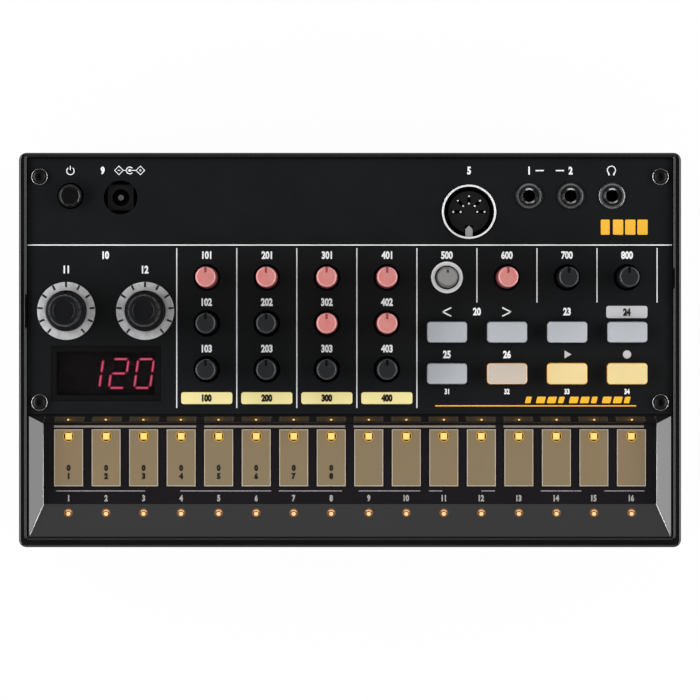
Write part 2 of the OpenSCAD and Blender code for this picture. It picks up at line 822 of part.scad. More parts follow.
module panel_holes() {
    at([for (place = small_knob_places) if (place != [4, 0]) knob_pos(place)])
        circle(d = knob_hole_d);
    at([knob_pos([4, 0])])
        circle(d = speed_ring_bore_d);
    at([[dial_x, dial_y], [dial_x + dial_pitch, dial_y]])
        circle(d = dial_stem_d + 2 * seat_gap);
    at([for (place = button_places) button_pos(place)])
        rounded_rect(button_opening, button_corner_r + button_gap);
    at([power_pos])
        circle(d = power_d + 3 * seat_gap);
    at([dc_pos])
        circle(d = dc_hole_d);
    at([data_pos])
        circle(d = data_shell_d + 2 * fit_gap);
    at([for (index = [0 : 2]) jack_pos(index)])
        circle(d = jack_collar_d + 2 * fit_gap);
    at(panel_screw_places)
        circle(d = panel_screw_d + 2 * screw_gap);
    translate([window_x, window_y])
        square([window_l - 2 * window_ledge_w, window_w - 2 * window_ledge_w], center = true);
}

// Round-headed screws with a six-sided socket
module panel_screws() {
    head_r = panel_screw_head_d / 2;
    color("#19191a")
    at(panel_screw_places, panel_top)
        difference() {
            union() {
                rotate_extrude() {
                    square([head_r, panel_screw_head_h / 2]);
                    intersection() {
                        square([head_r, panel_screw_head_h]);
                        translate([0, panel_screw_head_h - head_r * 1.2])
                            circle(head_r * 1.2);
                    }
                }
                translate([0, 0, -panel_screw_l])
                    cylinder(d = panel_screw_d, h = panel_screw_l + panel_screw_head_h / 2);
            }
            translate([0, 0, panel_screw_head_h / 3])
                cylinder(d = head_r, h = panel_screw_head_h, $fn = 6);
        }
}

// ---- Touch board ----

module touch_board() {
    color("#17151a")
    difference() {
        block(
            [fit_gap - touch_x, touch_front + fit_gap], [touch_x - fit_gap, touch_back - fit_gap],
            touch_board_z, tray_z
        );
        at(pad_light_places(), tray_z - pad_light_h)
            cylinder(d = pad_hole_d, h = pad_light_h + overcut);
    }
}

function pad_light_places() = [
    for (index = [0 : pad_count - 1]) [pad_x(index), touch_back - pad_back_gap - pad_light_inset]
];

module touch_pads() {
    color("#8c785a")
    for (index = [0 : pad_count - 1])
        translate([0, 0, tray_z])
            linear_extrude(pad_t)
                difference() {
                    translate([pad_x(index), touch_back - pad_back_gap - pad_l / 2])
                        rounded_rect([pad_w, pad_l], pad_corner_r);
                    translate(pad_light_places()[index])
                        circle(d = pad_hole_d);
                }
}

module step_lights() {
    color("#ffe878")
    at(pad_light_places(), tray_z - pad_light_h / 2)
        cube([pad_light_w, pad_light_w, pad_light_h], center = true);
}

// Flat cable between a plug under the touch board and a socket on the main board
module ribbon_cable() {
    plug_y = touch_back - touch_ledge_w - 1.5 * ribbon_plug;
    socket_y = panel_front + 1.5 * ribbon_plug;
    ribbon_z = touch_board_z - 2 * ribbon_plug;
    half_w = ribbon_w / 2;
    color("#c9c5b8") {
        block([-half_w, plug_y - ribbon_plug], [half_w, plug_y], ribbon_z, touch_board_z);
        block([-half_w, socket_y - ribbon_plug], [half_w, socket_y], board_top, ribbon_z + ribbon_t);
        block([-half_w, plug_y - ribbon_plug], [half_w, socket_y], ribbon_z, ribbon_z + ribbon_t);
    }
}

// ---- Display ----

module display_window() {
    color("#0d0d0f")
    translate([window_x, window_y, window_z + window_t / 2])
        cube([window_l, window_w, window_t], center = true);
}

// Box with a raised edge, which stands under the window's ledge
module display_module() {
    size = [window_l - 2 * window_ledge_w - 2 * fit_gap, window_w - 2 * window_ledge_w - 2 * fit_gap];
    color("#202022")
    translate([window_x, window_y, board_top])
        difference() {
            translate([0, 0, (window_z - seat_gap - board_top) / 2])
                cube([size[0], size[1], window_z - seat_gap - board_top], center = true);
            translate([0, 0, module_top - board_top + overcut])
                cube([size[0] - 2 * module_wall, size[1] - 2 * module_wall, 2 * overcut], center = true);
        }
}

// Four digits of seven segments each
module display_segments() {
    color("#d8557a")
    for (digit = [-1.5 : 1.5])
        translate([window_x + digit * digit_pitch, window_y, module_top])
            linear_extrude(segment_t) {
                for (row = [-1, 0, 1])
                    segment([0, row * (digit_h - segment_w) / 2], digit_w - segment_w, 0);
                for (side = [-1, 1], row = [-1, 1])
                    segment(
                        [side * (digit_w - segment_w) / 2, row * (digit_h - segment_w) / 4],
                        (digit_h - segment_w) / 2, 90
                    );
            }
}

// One six-sided segment, turned about its middle and then slanted with its digit
module segment(middle, span, turn) {
    half = span / 2 - segment_gap / 2;
    tip = segment_w / 2;
    outline = [
        [-half, 0], [tip - half, tip], [half - tip, tip],
        [half, 0], [half - tip, -tip], [tip - half, -tip]
    ];
    polygon([
        for (point = outline)
            slanted(middle + (turn == 0 ? point : [point[1], point[0]]))
    ]);
}

// ---- Main board and what stands on it ----

module main_board() {
    color("#1f4a33")
    difference() {
        block(
            [board_side_inset - case_length / 2, panel_front - panel_gap],
            [case_length / 2 - board_side_inset, case_depth / 2 - board_back_inset],
            board_z, board_top
        );
        at(board_screw_places, board_z - overcut)
            cylinder(d = case_screw_d + 2 * screw_gap, h = board_t + 2 * overcut);
    }
}

module potentiometer(width, height, collar_d, collar_h, stem_d, stem_l) {
    top = height + collar_h;
    difference() {
        union() {
            translate([0, 0, height / 2])
                cube([width, width, height], center = true);
            cylinder(d = collar_d, h = top);
        }
        translate([0, 0, top + seat_gap - stem_l - stem_foot_room])
            cylinder(d = stem_d + 2 * shaft_gap, h = stem_l + stem_foot_room);
    }
}

module small_potentiometers() {
    color("#2c4a7c")
    at([for (place = small_knob_places) knob_pos(place)], board_top)
        potentiometer(pot_w, pot_h, pot_collar_d, pot_collar_h, knob_stem_d, knob_stem_l);
}

module large_potentiometers() {
    color("#2c4a7c")
    at([[dial_x, dial_y], [dial_x + dial_pitch, dial_y]], board_top)
        potentiometer(
            large_pot_w, large_pot_h, large_pot_collar_d, large_pot_collar_h, dial_stem_d, dial_stem_l
        );
}

// Square switch with a round well for the button's stem
module switch_body(width, height, well, stem_d) {
    difference() {
        translate([0, 0, height / 2])
            cube([width, width, height], center = true);
        translate([0, 0, height - well])
            cylinder(d = stem_d + 2 * seat_gap, h = well + overcut);
    }
}

module button_switches() {
    color("#303033")
    at([for (place = button_places) button_pos(place)], board_top)
        switch_body(switch_w, switch_h, switch_well, button_stem_d);
}

module power_switch() {
    color("#e6e6e2")
    at([power_pos], board_top)
        switch_body(power_switch_w, power_switch_h, power_switch_well, power_d / 2);
}

// Small square lamps beside the knobs' potentiometers and the button switches
module indicator_lights() {
    color("#ff9a70") {
        at([for (place = small_knob_places) knob_pos(place)], board_top)
            translate([(pot_w + lamp_w) / 2 + seat_gap, 0, lamp_h / 2])
                cube([lamp_w, lamp_w, lamp_h], center = true);
        at([for (place = button_places) button_pos(place)], board_top)
            translate([(switch_w + lamp_w) / 2 + seat_gap, 0, lamp_h / 2])
                cube([lamp_w, lamp_w, lamp_h], center = true);
    }
}

// ---- Sockets ----

module data_socket_shell() {
    shell_bore = data_shell_d - 2 * data_shell_t;
    color("#c8c8ca")
    at([data_pos]) {
        translate([0, 0, board_top])
            ring(data_shell_d, shell_bore, jack_top - board_top);
        // key, pointed towards the middle
        translate([0, 0, panel_z])
            linear_extrude(panel_t / 2)
                polygon([
                    [-data_key_w / 2, data_shell_t / 3 - data_shell_d / 2],
                    [data_key_w / 2, data_shell_t / 3 - data_shell_d / 2],
                    [data_key_w / 2, -data_key_tip_r - data_key_w / 2],
                    [0, -data_key_tip_r],
                    [-data_key_w / 2, -data_key_tip_r - data_key_w / 2]
                ]);
    }
}

module data_socket_insulator() {
    shell_bore = data_shell_d - 2 * data_shell_t;
    color("#151516")
    at([data_pos], board_top)
        difference() {
            union() {
                cylinder(d = shell_bore, h = data_base_h);
                cylinder(d = data_insulator_d, h = panel_z + panel_t / 2 - board_top);
            }
            translate([0, 0, data_base_h])
                data_contact_slots(panel_top - board_top);
            // way for the key
            translate([0, -data_key_tip_r - data_shell_d / 2 + fit_gap, panel_top - board_top])
                cube([data_key_w + 2 * fit_gap, data_shell_d, 4 * panel_t], center = true);
        }
}

// Slots for the contacts, half a circle from the first to the last
module data_contact_slots(height) {
    slot = data_leaf_gap + 2 * data_leaf_d + 2 * fit_gap;
    for (step = [0 : data_contact_count - 1])
        rotate(180 * step / (data_contact_count - 1))
            translate([data_contact_r, 0, height / 2])
                cube([slot, data_leaf_d + 2 * fit_gap, height], center = true);
}

// Pairs of spring leaves that stand in the slots, joined at the foot
module data_socket_contacts() {
    leaf_h = panel_z - board_top - data_base_h;
    leaf_x = (data_leaf_gap + data_leaf_d) / 2;
    color("#d8d2c0")
    translate([data_pos[0], data_pos[1], board_top + data_base_h])
        for (step = [0 : data_contact_count - 1])
            rotate(180 * step / (data_contact_count - 1))
                translate([data_contact_r, 0, 0]) {
                    at([[-leaf_x, 0], [leaf_x, 0]])
                        cylinder(d = data_leaf_d, h = leaf_h);
                    translate([0, 0, data_leaf_d / 2])
                        cube([2 * leaf_x, data_leaf_d, data_leaf_d], center = true);
                }
}

// Socket for a 3.5 mm plug: a square body under the panel and a collar through it
module small_socket() {
    difference() {
        union() {
            translate([0, 0, (board_top + panel_z) / 2])
                cube([jack_body_w, jack_body_w, panel_z - board_top], center = true);
            translate([0, 0, board_top])
                cylinder(d = jack_collar_d, h = jack_top - board_top);
        }
        translate([0, 0, jack_top - jack_bore_l])
            cylinder(d = jack_bore_d, h = jack_bore_l + overcut);
    }
}

module sync_sockets() {
    color("#121213")
    at([jack_pos(0), jack_pos(1)])
        small_socket();
}

module headphone_socket() {
    color("#121213")
    at([jack_pos(2)])
        small_socket();
}

module power_socket() {
    color("#121213")
    at([dc_pos])
        difference() {
            translate([0, 0, (board_top + panel_z) / 2])
                cube([dc_body_w, dc_body_w, panel_z - board_top], center = true);
            translate([0, 0, panel_z - dc_bore_l])
                cylinder(d = dc_bore_d, h = dc_bore_l + overcut);
        }
}

module power_socket_pin() {
    color("#c8c8ca")
    at([dc_pos], panel_z - dc_bore_l)
        cylinder(d = dc_pin_d, h = dc_pin_l);
}

// ---- Speaker and batteries ----

// Round frame with its magnet, standing on the floor
module speaker_frame() {
    color("#7c7c80")
    at([speaker_pos], floor_z)
        difference() {
            union() {
                cylinder(d = speaker_d, h = speaker_flange_h);
                cylinder(d = speaker_d * 0.86, h = speaker_h * 0.5);
                cylinder(d = speaker_d * 0.55, h = speaker_h);
            }
            translate([0, 0, -overcut])
                cylinder(d = speaker_d * 0.8, h = speaker_h * 0.4 + overcut);
        }
}

module speaker_cone() {
    cone_h = speaker_h * 0.3;
    color("#2a2724")
    at([speaker_pos], floor_z)
        rotate_extrude()
            polygon([
                [0, cone_h], [speaker_d * 0.12, cone_h], [speaker_d * 0.4, speaker_flange_h / 2],
                [speaker_d * 0.4, speaker_flange_h], [speaker_d * 0.12, speaker_h * 0.4], [0, speaker_h * 0.4]
            ]);
}

module battery_cells() {
    color("#b8b23c")
    for (index = [0 : cell_count - 1])
        translate([cell_x(index), (cell_front + cell_back) / 2, cell_z])
            rotate([90 + 180 * (index % 2), 0, 0])
                translate([0, 0, -cell_l / 2]) {
                    cylinder(d = cell_d, h = cell_l - cell_button_h);
                    cylinder(d = cell_button_d, h = cell_l);
                }
}

function cell_x(index) = (index - (cell_count - 1) / 2) * cell_pitch;

// Plates at the ends of the bay, with a stud that meets each end of each cell
module battery_contacts() {
    stud_l = cell_end_gap;
    plate_w = cell_d * 0.7;
    color("#c0c0c0")
    for (index = [0 : cell_count - 1], end = [0, 1])
        translate([cell_x(index), end * (inner_y - bay_front) + bay_front, cell_z])
            mirror([0, end, 0]) {
                translate([0, contact_t / 2, 0])
                    cube([plate_w, contact_t, plate_w], center = true);
                rotate([-90, 0, 0])
                    cylinder(d = cell_button_d, h = stud_l);
            }
}

// ---- Knobs and buttons ----

// Knob and stem in one piece, tapered, with a bevelled top and a notch as its pointer
module small_knob(place) {
    foot = pot_top + seat_gap;
    height = knob_top - foot;
    r = knob_d / 2;
    top_r = r - knob_taper;
    at([knob_pos(place)])
        difference() {
            union() {
                translate([0, 0, foot])
                    rotate_extrude()
                        polygon([
                            [0, 0], [r, 0], [top_r, height - knob_bevel],
                            [top_r - knob_bevel, height], [0, height]
                        ]);
                translate([0, 0, foot - knob_stem_l])
                    cylinder(d = knob_stem_d, h = knob_stem_l + overcut);
            }
            translate([-knob_notch_w / 2, top_r - knob_notch_l, knob_top - knob_notch_h])
                cube([knob_notch_w, knob_notch_l + overcut, knob_notch_h + overcut]);
        }
}

// Skirted knob with a dished top, standing inside its scale ring
module dial_knob(x) {
    foot = large_pot_top + seat_gap;
    skirt_z = panel_top + seat_gap;
    height = knob_top - skirt_z;
    r = dial_d / 2;
    top_r = dial_top_d / 2;
    rim_r = top_r - dial_edge_w;
    at([[x, dial_y]])
        difference() {
            union() {
                translate([0, 0, skirt_z])
                    rotate_extrude()
                        polygon([
                            [0, 0], [r, 0], [r, dial_skirt_h],
                            [r - dial_shoulder, dial_skirt_h + dial_shoulder],
                            [top_r, height - knob_bevel], [top_r - knob_bevel, height], [rim_r, height],
                            [rim_r - dial_dish, height - dial_dish], [0, height - dial_dish]
                        ]);
                translate([0, 0, foot - dial_stem_l])
                    cylinder(d = dial_stem_d, h = skirt_z - foot + dial_stem_l + overcut);
            }
            translate([-dial_notch_w / 2, r - dial_notch_l, skirt_z - overcut])
                cube([dial_notch_w, dial_notch_l + overcut, dial_skirt_h + dial_shoulder + overcut]);
        }
}

module scale_ring(x) {
    at([[x, dial_y]], panel_top)
        difference() {
            ring(dial_ring_d, dial_ring_bore_d, dial_ring_h);
            for (tick = [0 : tick_count - 1])
                rotate(tick_sweep * (tick / (tick_count - 1) - 0.5))
                    translate([-tick_w / 2, dial_ring_d / 2 - tick_l, dial_ring_h - tick_h])
                        cube([tick_w, tick_l + overcut, tick_h + overcut]);
        }
}

module dial_rings() {
    color("#bdbdbd") {
        scale_ring(dial_x);
        scale_ring(dial_x + dial_pitch);
    }
}

module speed_knob_ring() {
    color("#b9b9b9")
    at([knob_pos([4, 0])], panel_top)
        ring(speed_ring_d, speed_ring_bore_d, speed_ring_h);
}

// Cap, flange that stays under the panel, and stem
module button(place) {
    flange_top = panel_z - seat_gap;
    at([button_pos(place)]) {
        translate([0, 0, flange_top - button_flange_t])
            linear_extrude(panel_top + button_rise - flange_top + button_flange_t)
                rounded_rect(button_size, button_corner_r);
        translate([0, 0, flange_top - button_flange_t])
            linear_extrude(button_flange_t)
                rounded_rect(button_size + 2 * [button_flange_w, button_flange_w], button_corner_r);
        translate([0, 0, switch_top - button_stem_depth])
            cylinder(d = button_stem_d, h = flange_top - switch_top + button_stem_depth);
    }
}

module power_button() {
    flange_top = panel_z - seat_gap;
    height = panel_top + power_rise - flange_top + button_flange_t;
    r = power_d / 2;
    color("#1d1e20")
    at([power_pos]) {
        translate([0, 0, flange_top - button_flange_t])
            rotate_extrude()
                polygon([
                    [0, 0], [r + power_flange_w, 0], [r + power_flange_w, button_flange_t],
                    [r, button_flange_t], [r, height - 2 * knob_bevel],
                    [r - 2 * knob_bevel, height], [0, height]
                ]);
        translate([0, 0, power_switch_top - power_stem_depth])
            cylinder(d = power_d / 2, h = flange_top - power_switch_top + power_stem_depth);
    }
}

module stutter_time_knob() {
    color("#26262a")
    dial_knob(dial_x);
}

module stutter_depth_knob() {
    color("#26262a")
    dial_knob(dial_x + dial_pitch);
}

module kick_click_knob() {
    color("#e8857f")
    small_knob([0, 0]);
}

module kick_pitch_knob() {
    color("#2d2d30")
    small_knob([0, 1]);
}

module kick_decay_knob() {
    color("#2d2d30")
    small_knob([0, 2]);
}

module snare_snappy_knob() {
    color("#e8857f")
    small_knob([1, 0]);
}

module snare_pitch_knob() {
    color("#2d2d30")
    small_knob([1, 1]);
}

module snare_decay_knob() {
    color("#2d2d30")
    small_knob([1, 2]);
}

module tom_high_pitch_knob() {
    color("#e8857f")
    small_knob([2, 0]);
}

module tom_low_pitch_knob() {
    color("#e8857f")
    small_knob([2, 1]);
}

module tom_decay_knob() {
    color("#2d2d30")
    small_knob([2, 2]);
}

module hat_closed_decay_knob() {
    color("#e8857f")
    small_knob([3, 0]);
}

module hat_open_decay_knob() {
    color("#e8857f")
    small_knob([3, 1]);
}

module hat_grain_knob() {
    color("#2d2d30")
    small_knob([3, 2]);
}

module sample_speed_knob() {
    color("#96938e")
    small_knob([4, 0]);
}

module tempo_knob() {
    color("#e8857f")
    small_knob([5, 0]);
}

module part_level_knob() {
    color("#2d2d30")
    small_knob([6, 0]);
}

module volume_knob() {
    color("#2d2d30")
    small_knob([7, 0]);
}

module part_back_button() {
    color("#adb3ba")
    button([4, 0]);
}

module part_next_button() {
    color("#adb3ba")
    button([5, 0]);
}

module mute_button() {
    color("#adb3ba")
    button([6, 0]);
}

module function_button() {
    color("#adb3ba")
    button([7, 0]);
}

module memory_button() {
    color("#adb3ba")
    button([4, 1]);
}

module step_mode_button() {
    color("#c8c0b8")
    button([5, 1]);
}

module play_button() {
    color("#f0dc96")
    button([6, 1]);
}

module record_button() {
    color("#f0dc96")
    button([7, 1]);
}

top_case();
bottom_case();
control_panel();
panel_screws();
case_screws();
rubber_feet();
touch_board();
touch_pads();
step_lights();
ribbon_cable();
main_board();
small_potentiometers();
large_potentiometers();
button_switches();
power_switch();
indicator_lights();
display_window();
display_module();
display_segments();
dial_rings();
speed_knob_ring();
data_socket_shell();
data_socket_insulator();
data_socket_contacts();
sync_sockets();
headphone_socket();
power_socket();
power_socket_pin();
speaker_frame();
speaker_cone();
battery_cells();
battery_contacts();
battery_cover();
stutter_time_knob();
stutter_depth_knob();
kick_click_knob();
kick_pitch_knob();
kick_decay_knob();
snare_snappy_knob();
snare_pitch_knob();
snare_decay_knob();
tom_high_pitch_knob();
tom_low_pitch_knob();
tom_decay_knob();
hat_closed_decay_knob();
hat_open_decay_knob();
hat_grain_knob();
sample_speed_knob();
tempo_knob();
part_level_knob();
volume_knob();
part_back_button();
part_next_button();
mute_button();
function_button();
memory_button();
step_mode_button();
play_button();
record_button();
power_button();
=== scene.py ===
import json
import math
import bpy
import bmesh
from mathutils import Matrix, Vector


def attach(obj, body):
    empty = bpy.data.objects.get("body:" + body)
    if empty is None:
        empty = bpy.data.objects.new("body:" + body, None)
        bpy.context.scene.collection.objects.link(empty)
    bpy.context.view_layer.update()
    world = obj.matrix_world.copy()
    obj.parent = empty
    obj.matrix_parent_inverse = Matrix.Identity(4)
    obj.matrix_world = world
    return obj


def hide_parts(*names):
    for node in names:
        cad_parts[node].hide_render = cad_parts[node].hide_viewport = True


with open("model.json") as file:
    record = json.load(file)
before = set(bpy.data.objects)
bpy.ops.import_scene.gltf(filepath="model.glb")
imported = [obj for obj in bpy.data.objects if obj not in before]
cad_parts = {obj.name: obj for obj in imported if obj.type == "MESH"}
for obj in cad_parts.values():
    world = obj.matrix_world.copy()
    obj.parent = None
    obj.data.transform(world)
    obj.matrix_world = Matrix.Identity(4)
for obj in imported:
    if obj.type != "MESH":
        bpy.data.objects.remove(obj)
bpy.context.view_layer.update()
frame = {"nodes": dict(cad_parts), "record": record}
nodes = frame["nodes"]
mm = 0.001
panelTop = 34.5      # face of the control panel above the table, mm
boardTop = 31.5      # face of the touch board
padTop = 31.7
trayDepth = panelTop - boardTop
trayFoot = -45.0     # where the board meets the tray's front slope
printThick = 0.03
strokeOver = 0.6     # share of its width by which a printed stroke is longer than its line
print("frame loaded:", len(nodes), "nodes")

# camera and studio

cameraLook = {
    "stand": (0.0, 0.0, 1157.0),   # straight above the middle, mm
    "lens": 198.05,
    "sensor": 36,
    "near": 0.05,           # m
    "far": 20,
}


def setCamera():
    data = bpy.data.cameras.new("topCamera")
    data.lens = cameraLook["lens"]
    data.sensor_width = cameraLook["sensor"]
    data.clip_start = cameraLook["near"]
    data.clip_end = cameraLook["far"]
    camera = bpy.data.objects.new("topCamera", data)
    camera.location = Vector(cameraLook["stand"]) * mm
    bpy.context.scene.collection.objects.link(camera)
    bpy.context.scene.camera = camera
    bpy.context.scene.view_settings.view_transform = "Standard"


studio = {
    "sideLift": 0.42,       # height of the two long side boxes, m
    "sideAway": 0.95,
    "sideSize": (1.5, 0.42),
    "leftPower": 17,
    "rightPower": 14.5,
    "backPlace": (0, 0.85, 1.2),
    "backSize": (1.2, 0.5),
    "backPower": 2.3,
    "frontPlace": (0, -0.85, 0.85),
    "frontSize": (1.2, 0.4),
    "frontPower": 3,
    "roomLow": 0.5,         # grey of the room near the horizon
    "roomHigh": 0.025,      # and overhead
    "roomFall": (0.15, 0.75),   # rise of the view over which one turns into the other
    "floorHalf": 3.0,       # m
    "floorGrey": 0.86,
    "floorGlow": 0.965,     # share of plain white in what the camera sees of it
}


def addBox(name, place, size, power):
    data = bpy.data.lights.new(name, "AREA")
    data.shape = "RECTANGLE"
    data.size, data.size_y = size
    data.energy = power
    light = bpy.data.objects.new(name, data)
    place = Vector(place)
    aim = (-place).to_track_quat("-Z", "Y")
    light.matrix_world = Matrix.Translation(place) @ aim.to_matrix().to_4x4()
    light.visible_camera = False
    bpy.context.scene.collection.objects.link(light)


def lightStudio():
    away, lift = studio["sideAway"], studio["sideLift"]
    addBox("leftBox", (-away, 0, lift), studio["sideSize"], studio["leftPower"])
    addBox("rightBox", (away, 0, lift), studio["sideSize"], studio["rightPower"])
    addBox("backBox", studio["backPlace"], studio["backSize"], studio["backPower"])
    addBox("frontBox", studio["frontPlace"], studio["frontSize"], studio["frontPower"])
    world = bpy.data.worlds.new("studioRoom")
    bpy.context.scene.world = world
    world.use_nodes = True
    tree = world.node_tree
    tree.nodes.clear()
    put, link = tree.nodes.new, tree.links.new
    coords = put("ShaderNodeTexCoord")
    split = put("ShaderNodeSeparateXYZ")
    fall = put("ShaderNodeMapRange")
    fall.inputs["From Min"].default_value = studio["roomFall"][0]
    fall.inputs["From Max"].default_value = studio["roomFall"][1]
    fall.inputs["To Min"].default_value = studio["roomLow"]
    fall.inputs["To Max"].default_value = studio["roomHigh"]
    room = put("ShaderNodeBackground")
    white = put("ShaderNodeBackground")
    for paper in (room, white):
        paper.inputs["Color"].default_value = (1, 1, 1, 1)
    path = put("ShaderNodeLightPath")
    mix = put("ShaderNodeMixShader")
    out = put("ShaderNodeOutputWorld")
    link(coords.outputs["Generated"], split.inputs[0])
    link(split.outputs["Z"], fall.inputs["Value"])
    link(fall.outputs["Result"], room.inputs["Strength"])
    link(path.outputs["Is Camera Ray"], mix.inputs["Fac"])
    link(room.outputs[0], mix.inputs[1])
    link(white.outputs[0], mix.inputs[2])
    link(mix.outputs[0], out.inputs["Surface"])


def layFloor():
    shape = bmesh.new()
    bmesh.ops.create_grid(shape, x_segments=4, y_segments=4, size=studio["floorHalf"])
    mesh = bpy.data.meshes.new("floor")
    shape.to_mesh(mesh)
    shape.free()
    floor = bpy.data.objects.new("floor", mesh)
    bpy.context.scene.collection.objects.link(floor)
    paper = bpy.data.materials.new("paperWhite")
    paper.use_nodes = True
    tree = paper.node_tree
    tree.nodes.clear()
    put, link = tree.nodes.new, tree.links.new
    body = put("ShaderNodeBsdfDiffuse")
    body.inputs["Color"].default_value = [studio["floorGrey"]] * 3 + [1]
    shine = put("ShaderNodeEmission")
    shine.inputs["Color"].default_value = (1, 1, 1, 1)
    path = put("ShaderNodeLightPath")
    first = put("ShaderNodeMath")
    first.operation = "MAXIMUM"
    second = put("ShaderNodeMath")
    second.operation = "MAXIMUM"
    share = put("ShaderNodeMath")
    share.operation = "MULTIPLY"
    share.inputs[1].default_value = studio["floorGlow"]
    mix = put("ShaderNodeMixShader")
    out = put("ShaderNodeOutputMaterial")
    link(path.outputs["Is Camera Ray"], first.inputs[0])
    link(path.outputs["Is Glossy Ray"], first.inputs[1])
    link(first.outputs[0], second.inputs[0])
    link(path.outputs["Is Transmission Ray"], second.inputs[1])
    link(second.outputs[0], share.inputs[0])
    link(share.outputs[0], mix.inputs["Fac"])
    link(body.outputs[0], mix.inputs[1])
    link(shine.outputs[0], mix.inputs[2])
    link(mix.outputs[0], out.inputs["Surface"])
    mesh.materials.append(paper)


setCamera()
lightStudio()
layFloor()
print("camera, lights and floor set")

# finishes

# how far up a surface looks where its painted rim shading and its painted side shading set in and are
# full
leanLimits = {"rim": (0.985, 0.93), "side": (0.45, 0.3)}
driftStops = (0.3, 0.7)
wearFiner = 4            # scale of the uneven gloss over that of the drifting colour
grainDepth = 0.00005     # m


# moulded, painted and printed surfaces: a colour that drifts a little, uneven gloss and fine grain, and
# for some finishes painted light and shade on rims and steep sides
def mouldedFinish(name, colour, drift=0.12, driftSize=45, gloss=(0.32, 0.42), grainSize=1400,
                  grain=0.15, metal=0.0, specular=0.5, rimPaintedShading=None, sidePaintedShading=None,
                  glow=None, glowStrength=0.0, otherColour=None):
    material = bpy.data.materials.new(name)
    material.use_nodes = True
    tree = material.node_tree
    put, link = tree.nodes.new, tree.links.new
    shader = tree.nodes["Principled BSDF"]
    shader.inputs["Metallic"].default_value = metal
    shader.inputs["Specular IOR Level"].default_value = specular
    spread = put("ShaderNodeTexCoord").outputs["Object"]
    clouds = put("ShaderNodeTexNoise")
    clouds.inputs["Scale"].default_value = driftSize
    clouds.inputs["Detail"].default_value = 4
    link(spread, clouds.inputs["Vector"])
    shades = put("ShaderNodeValToRGB")
    low, high = shades.color_ramp.elements
    low.position, high.position = driftStops
    low.color = [c * (1 - drift) for c in colour] + [1]
    high.color = [min(1, c * (1 + drift)) for c in otherColour or colour] + [1]
    link(clouds.outputs["Fac"], shades.inputs["Fac"])
    paint = shades.outputs["Color"]
    # painted light and shade: faces that lean from the top, and steep sides, take colours of their own,
    # lighter or darker than the top by finish, in place of how the lamps fall on them
    if rimPaintedShading or sidePaintedShading:
        shapeInfo = put("ShaderNodeNewGeometry")
        lean = put("ShaderNodeSeparateXYZ")
        link(shapeInfo.outputs["Normal"], lean.inputs[0])
        for limits, tint in ((leanLimits["rim"], rimPaintedShading), (leanLimits["side"], sidePaintedShading)):
            if not tint:
                continue
            where = put("ShaderNodeMapRange")
            where.inputs["From Min"].default_value = limits[0]
            where.inputs["From Max"].default_value = limits[1]
            link(lean.outputs["Z"], where.inputs["Value"])
            blend = put("ShaderNodeMix")
            blend.data_type = "RGBA"
            blend.inputs["B"].default_value = list(tint) + [1]
            link(where.outputs["Result"], blend.inputs["Factor"])
            link(paint, blend.inputs["A"])
            paint = blend.outputs["Result"]
    link(paint, shader.inputs["Base Color"])
    wear = put("ShaderNodeTexNoise")
    wear.inputs["Scale"].default_value = driftSize * wearFiner
    wear.inputs["Detail"].default_value = 6
    link(spread, wear.inputs["Vector"])
    matt = put("ShaderNodeMapRange")
    matt.inputs["To Min"].default_value = gloss[0]
    matt.inputs["To Max"].default_value = gloss[1]
    link(wear.outputs["Fac"], matt.inputs["Value"])
    link(matt.outputs["Result"], shader.inputs["Roughness"])
    fine = put("ShaderNodeTexNoise")
    fine.inputs["Scale"].default_value = grainSize
    fine.inputs["Detail"].default_value = 2
    link(spread, fine.inputs["Vector"])
    bump = put("ShaderNodeBump")
    bump.inputs["Strength"].default_value = grain
    bump.inputs["Distance"].default_value = grainDepth
    link(fine.outputs["Fac"], bump.inputs["Height"])
    link(bump.outputs["Normal"], shader.inputs["Normal"])
    if glow:
        shader.inputs["Emission Color"].default_value = list(glow) + [1]
        shader.inputs["Emission Strength"].default_value = glowStrength
    return material


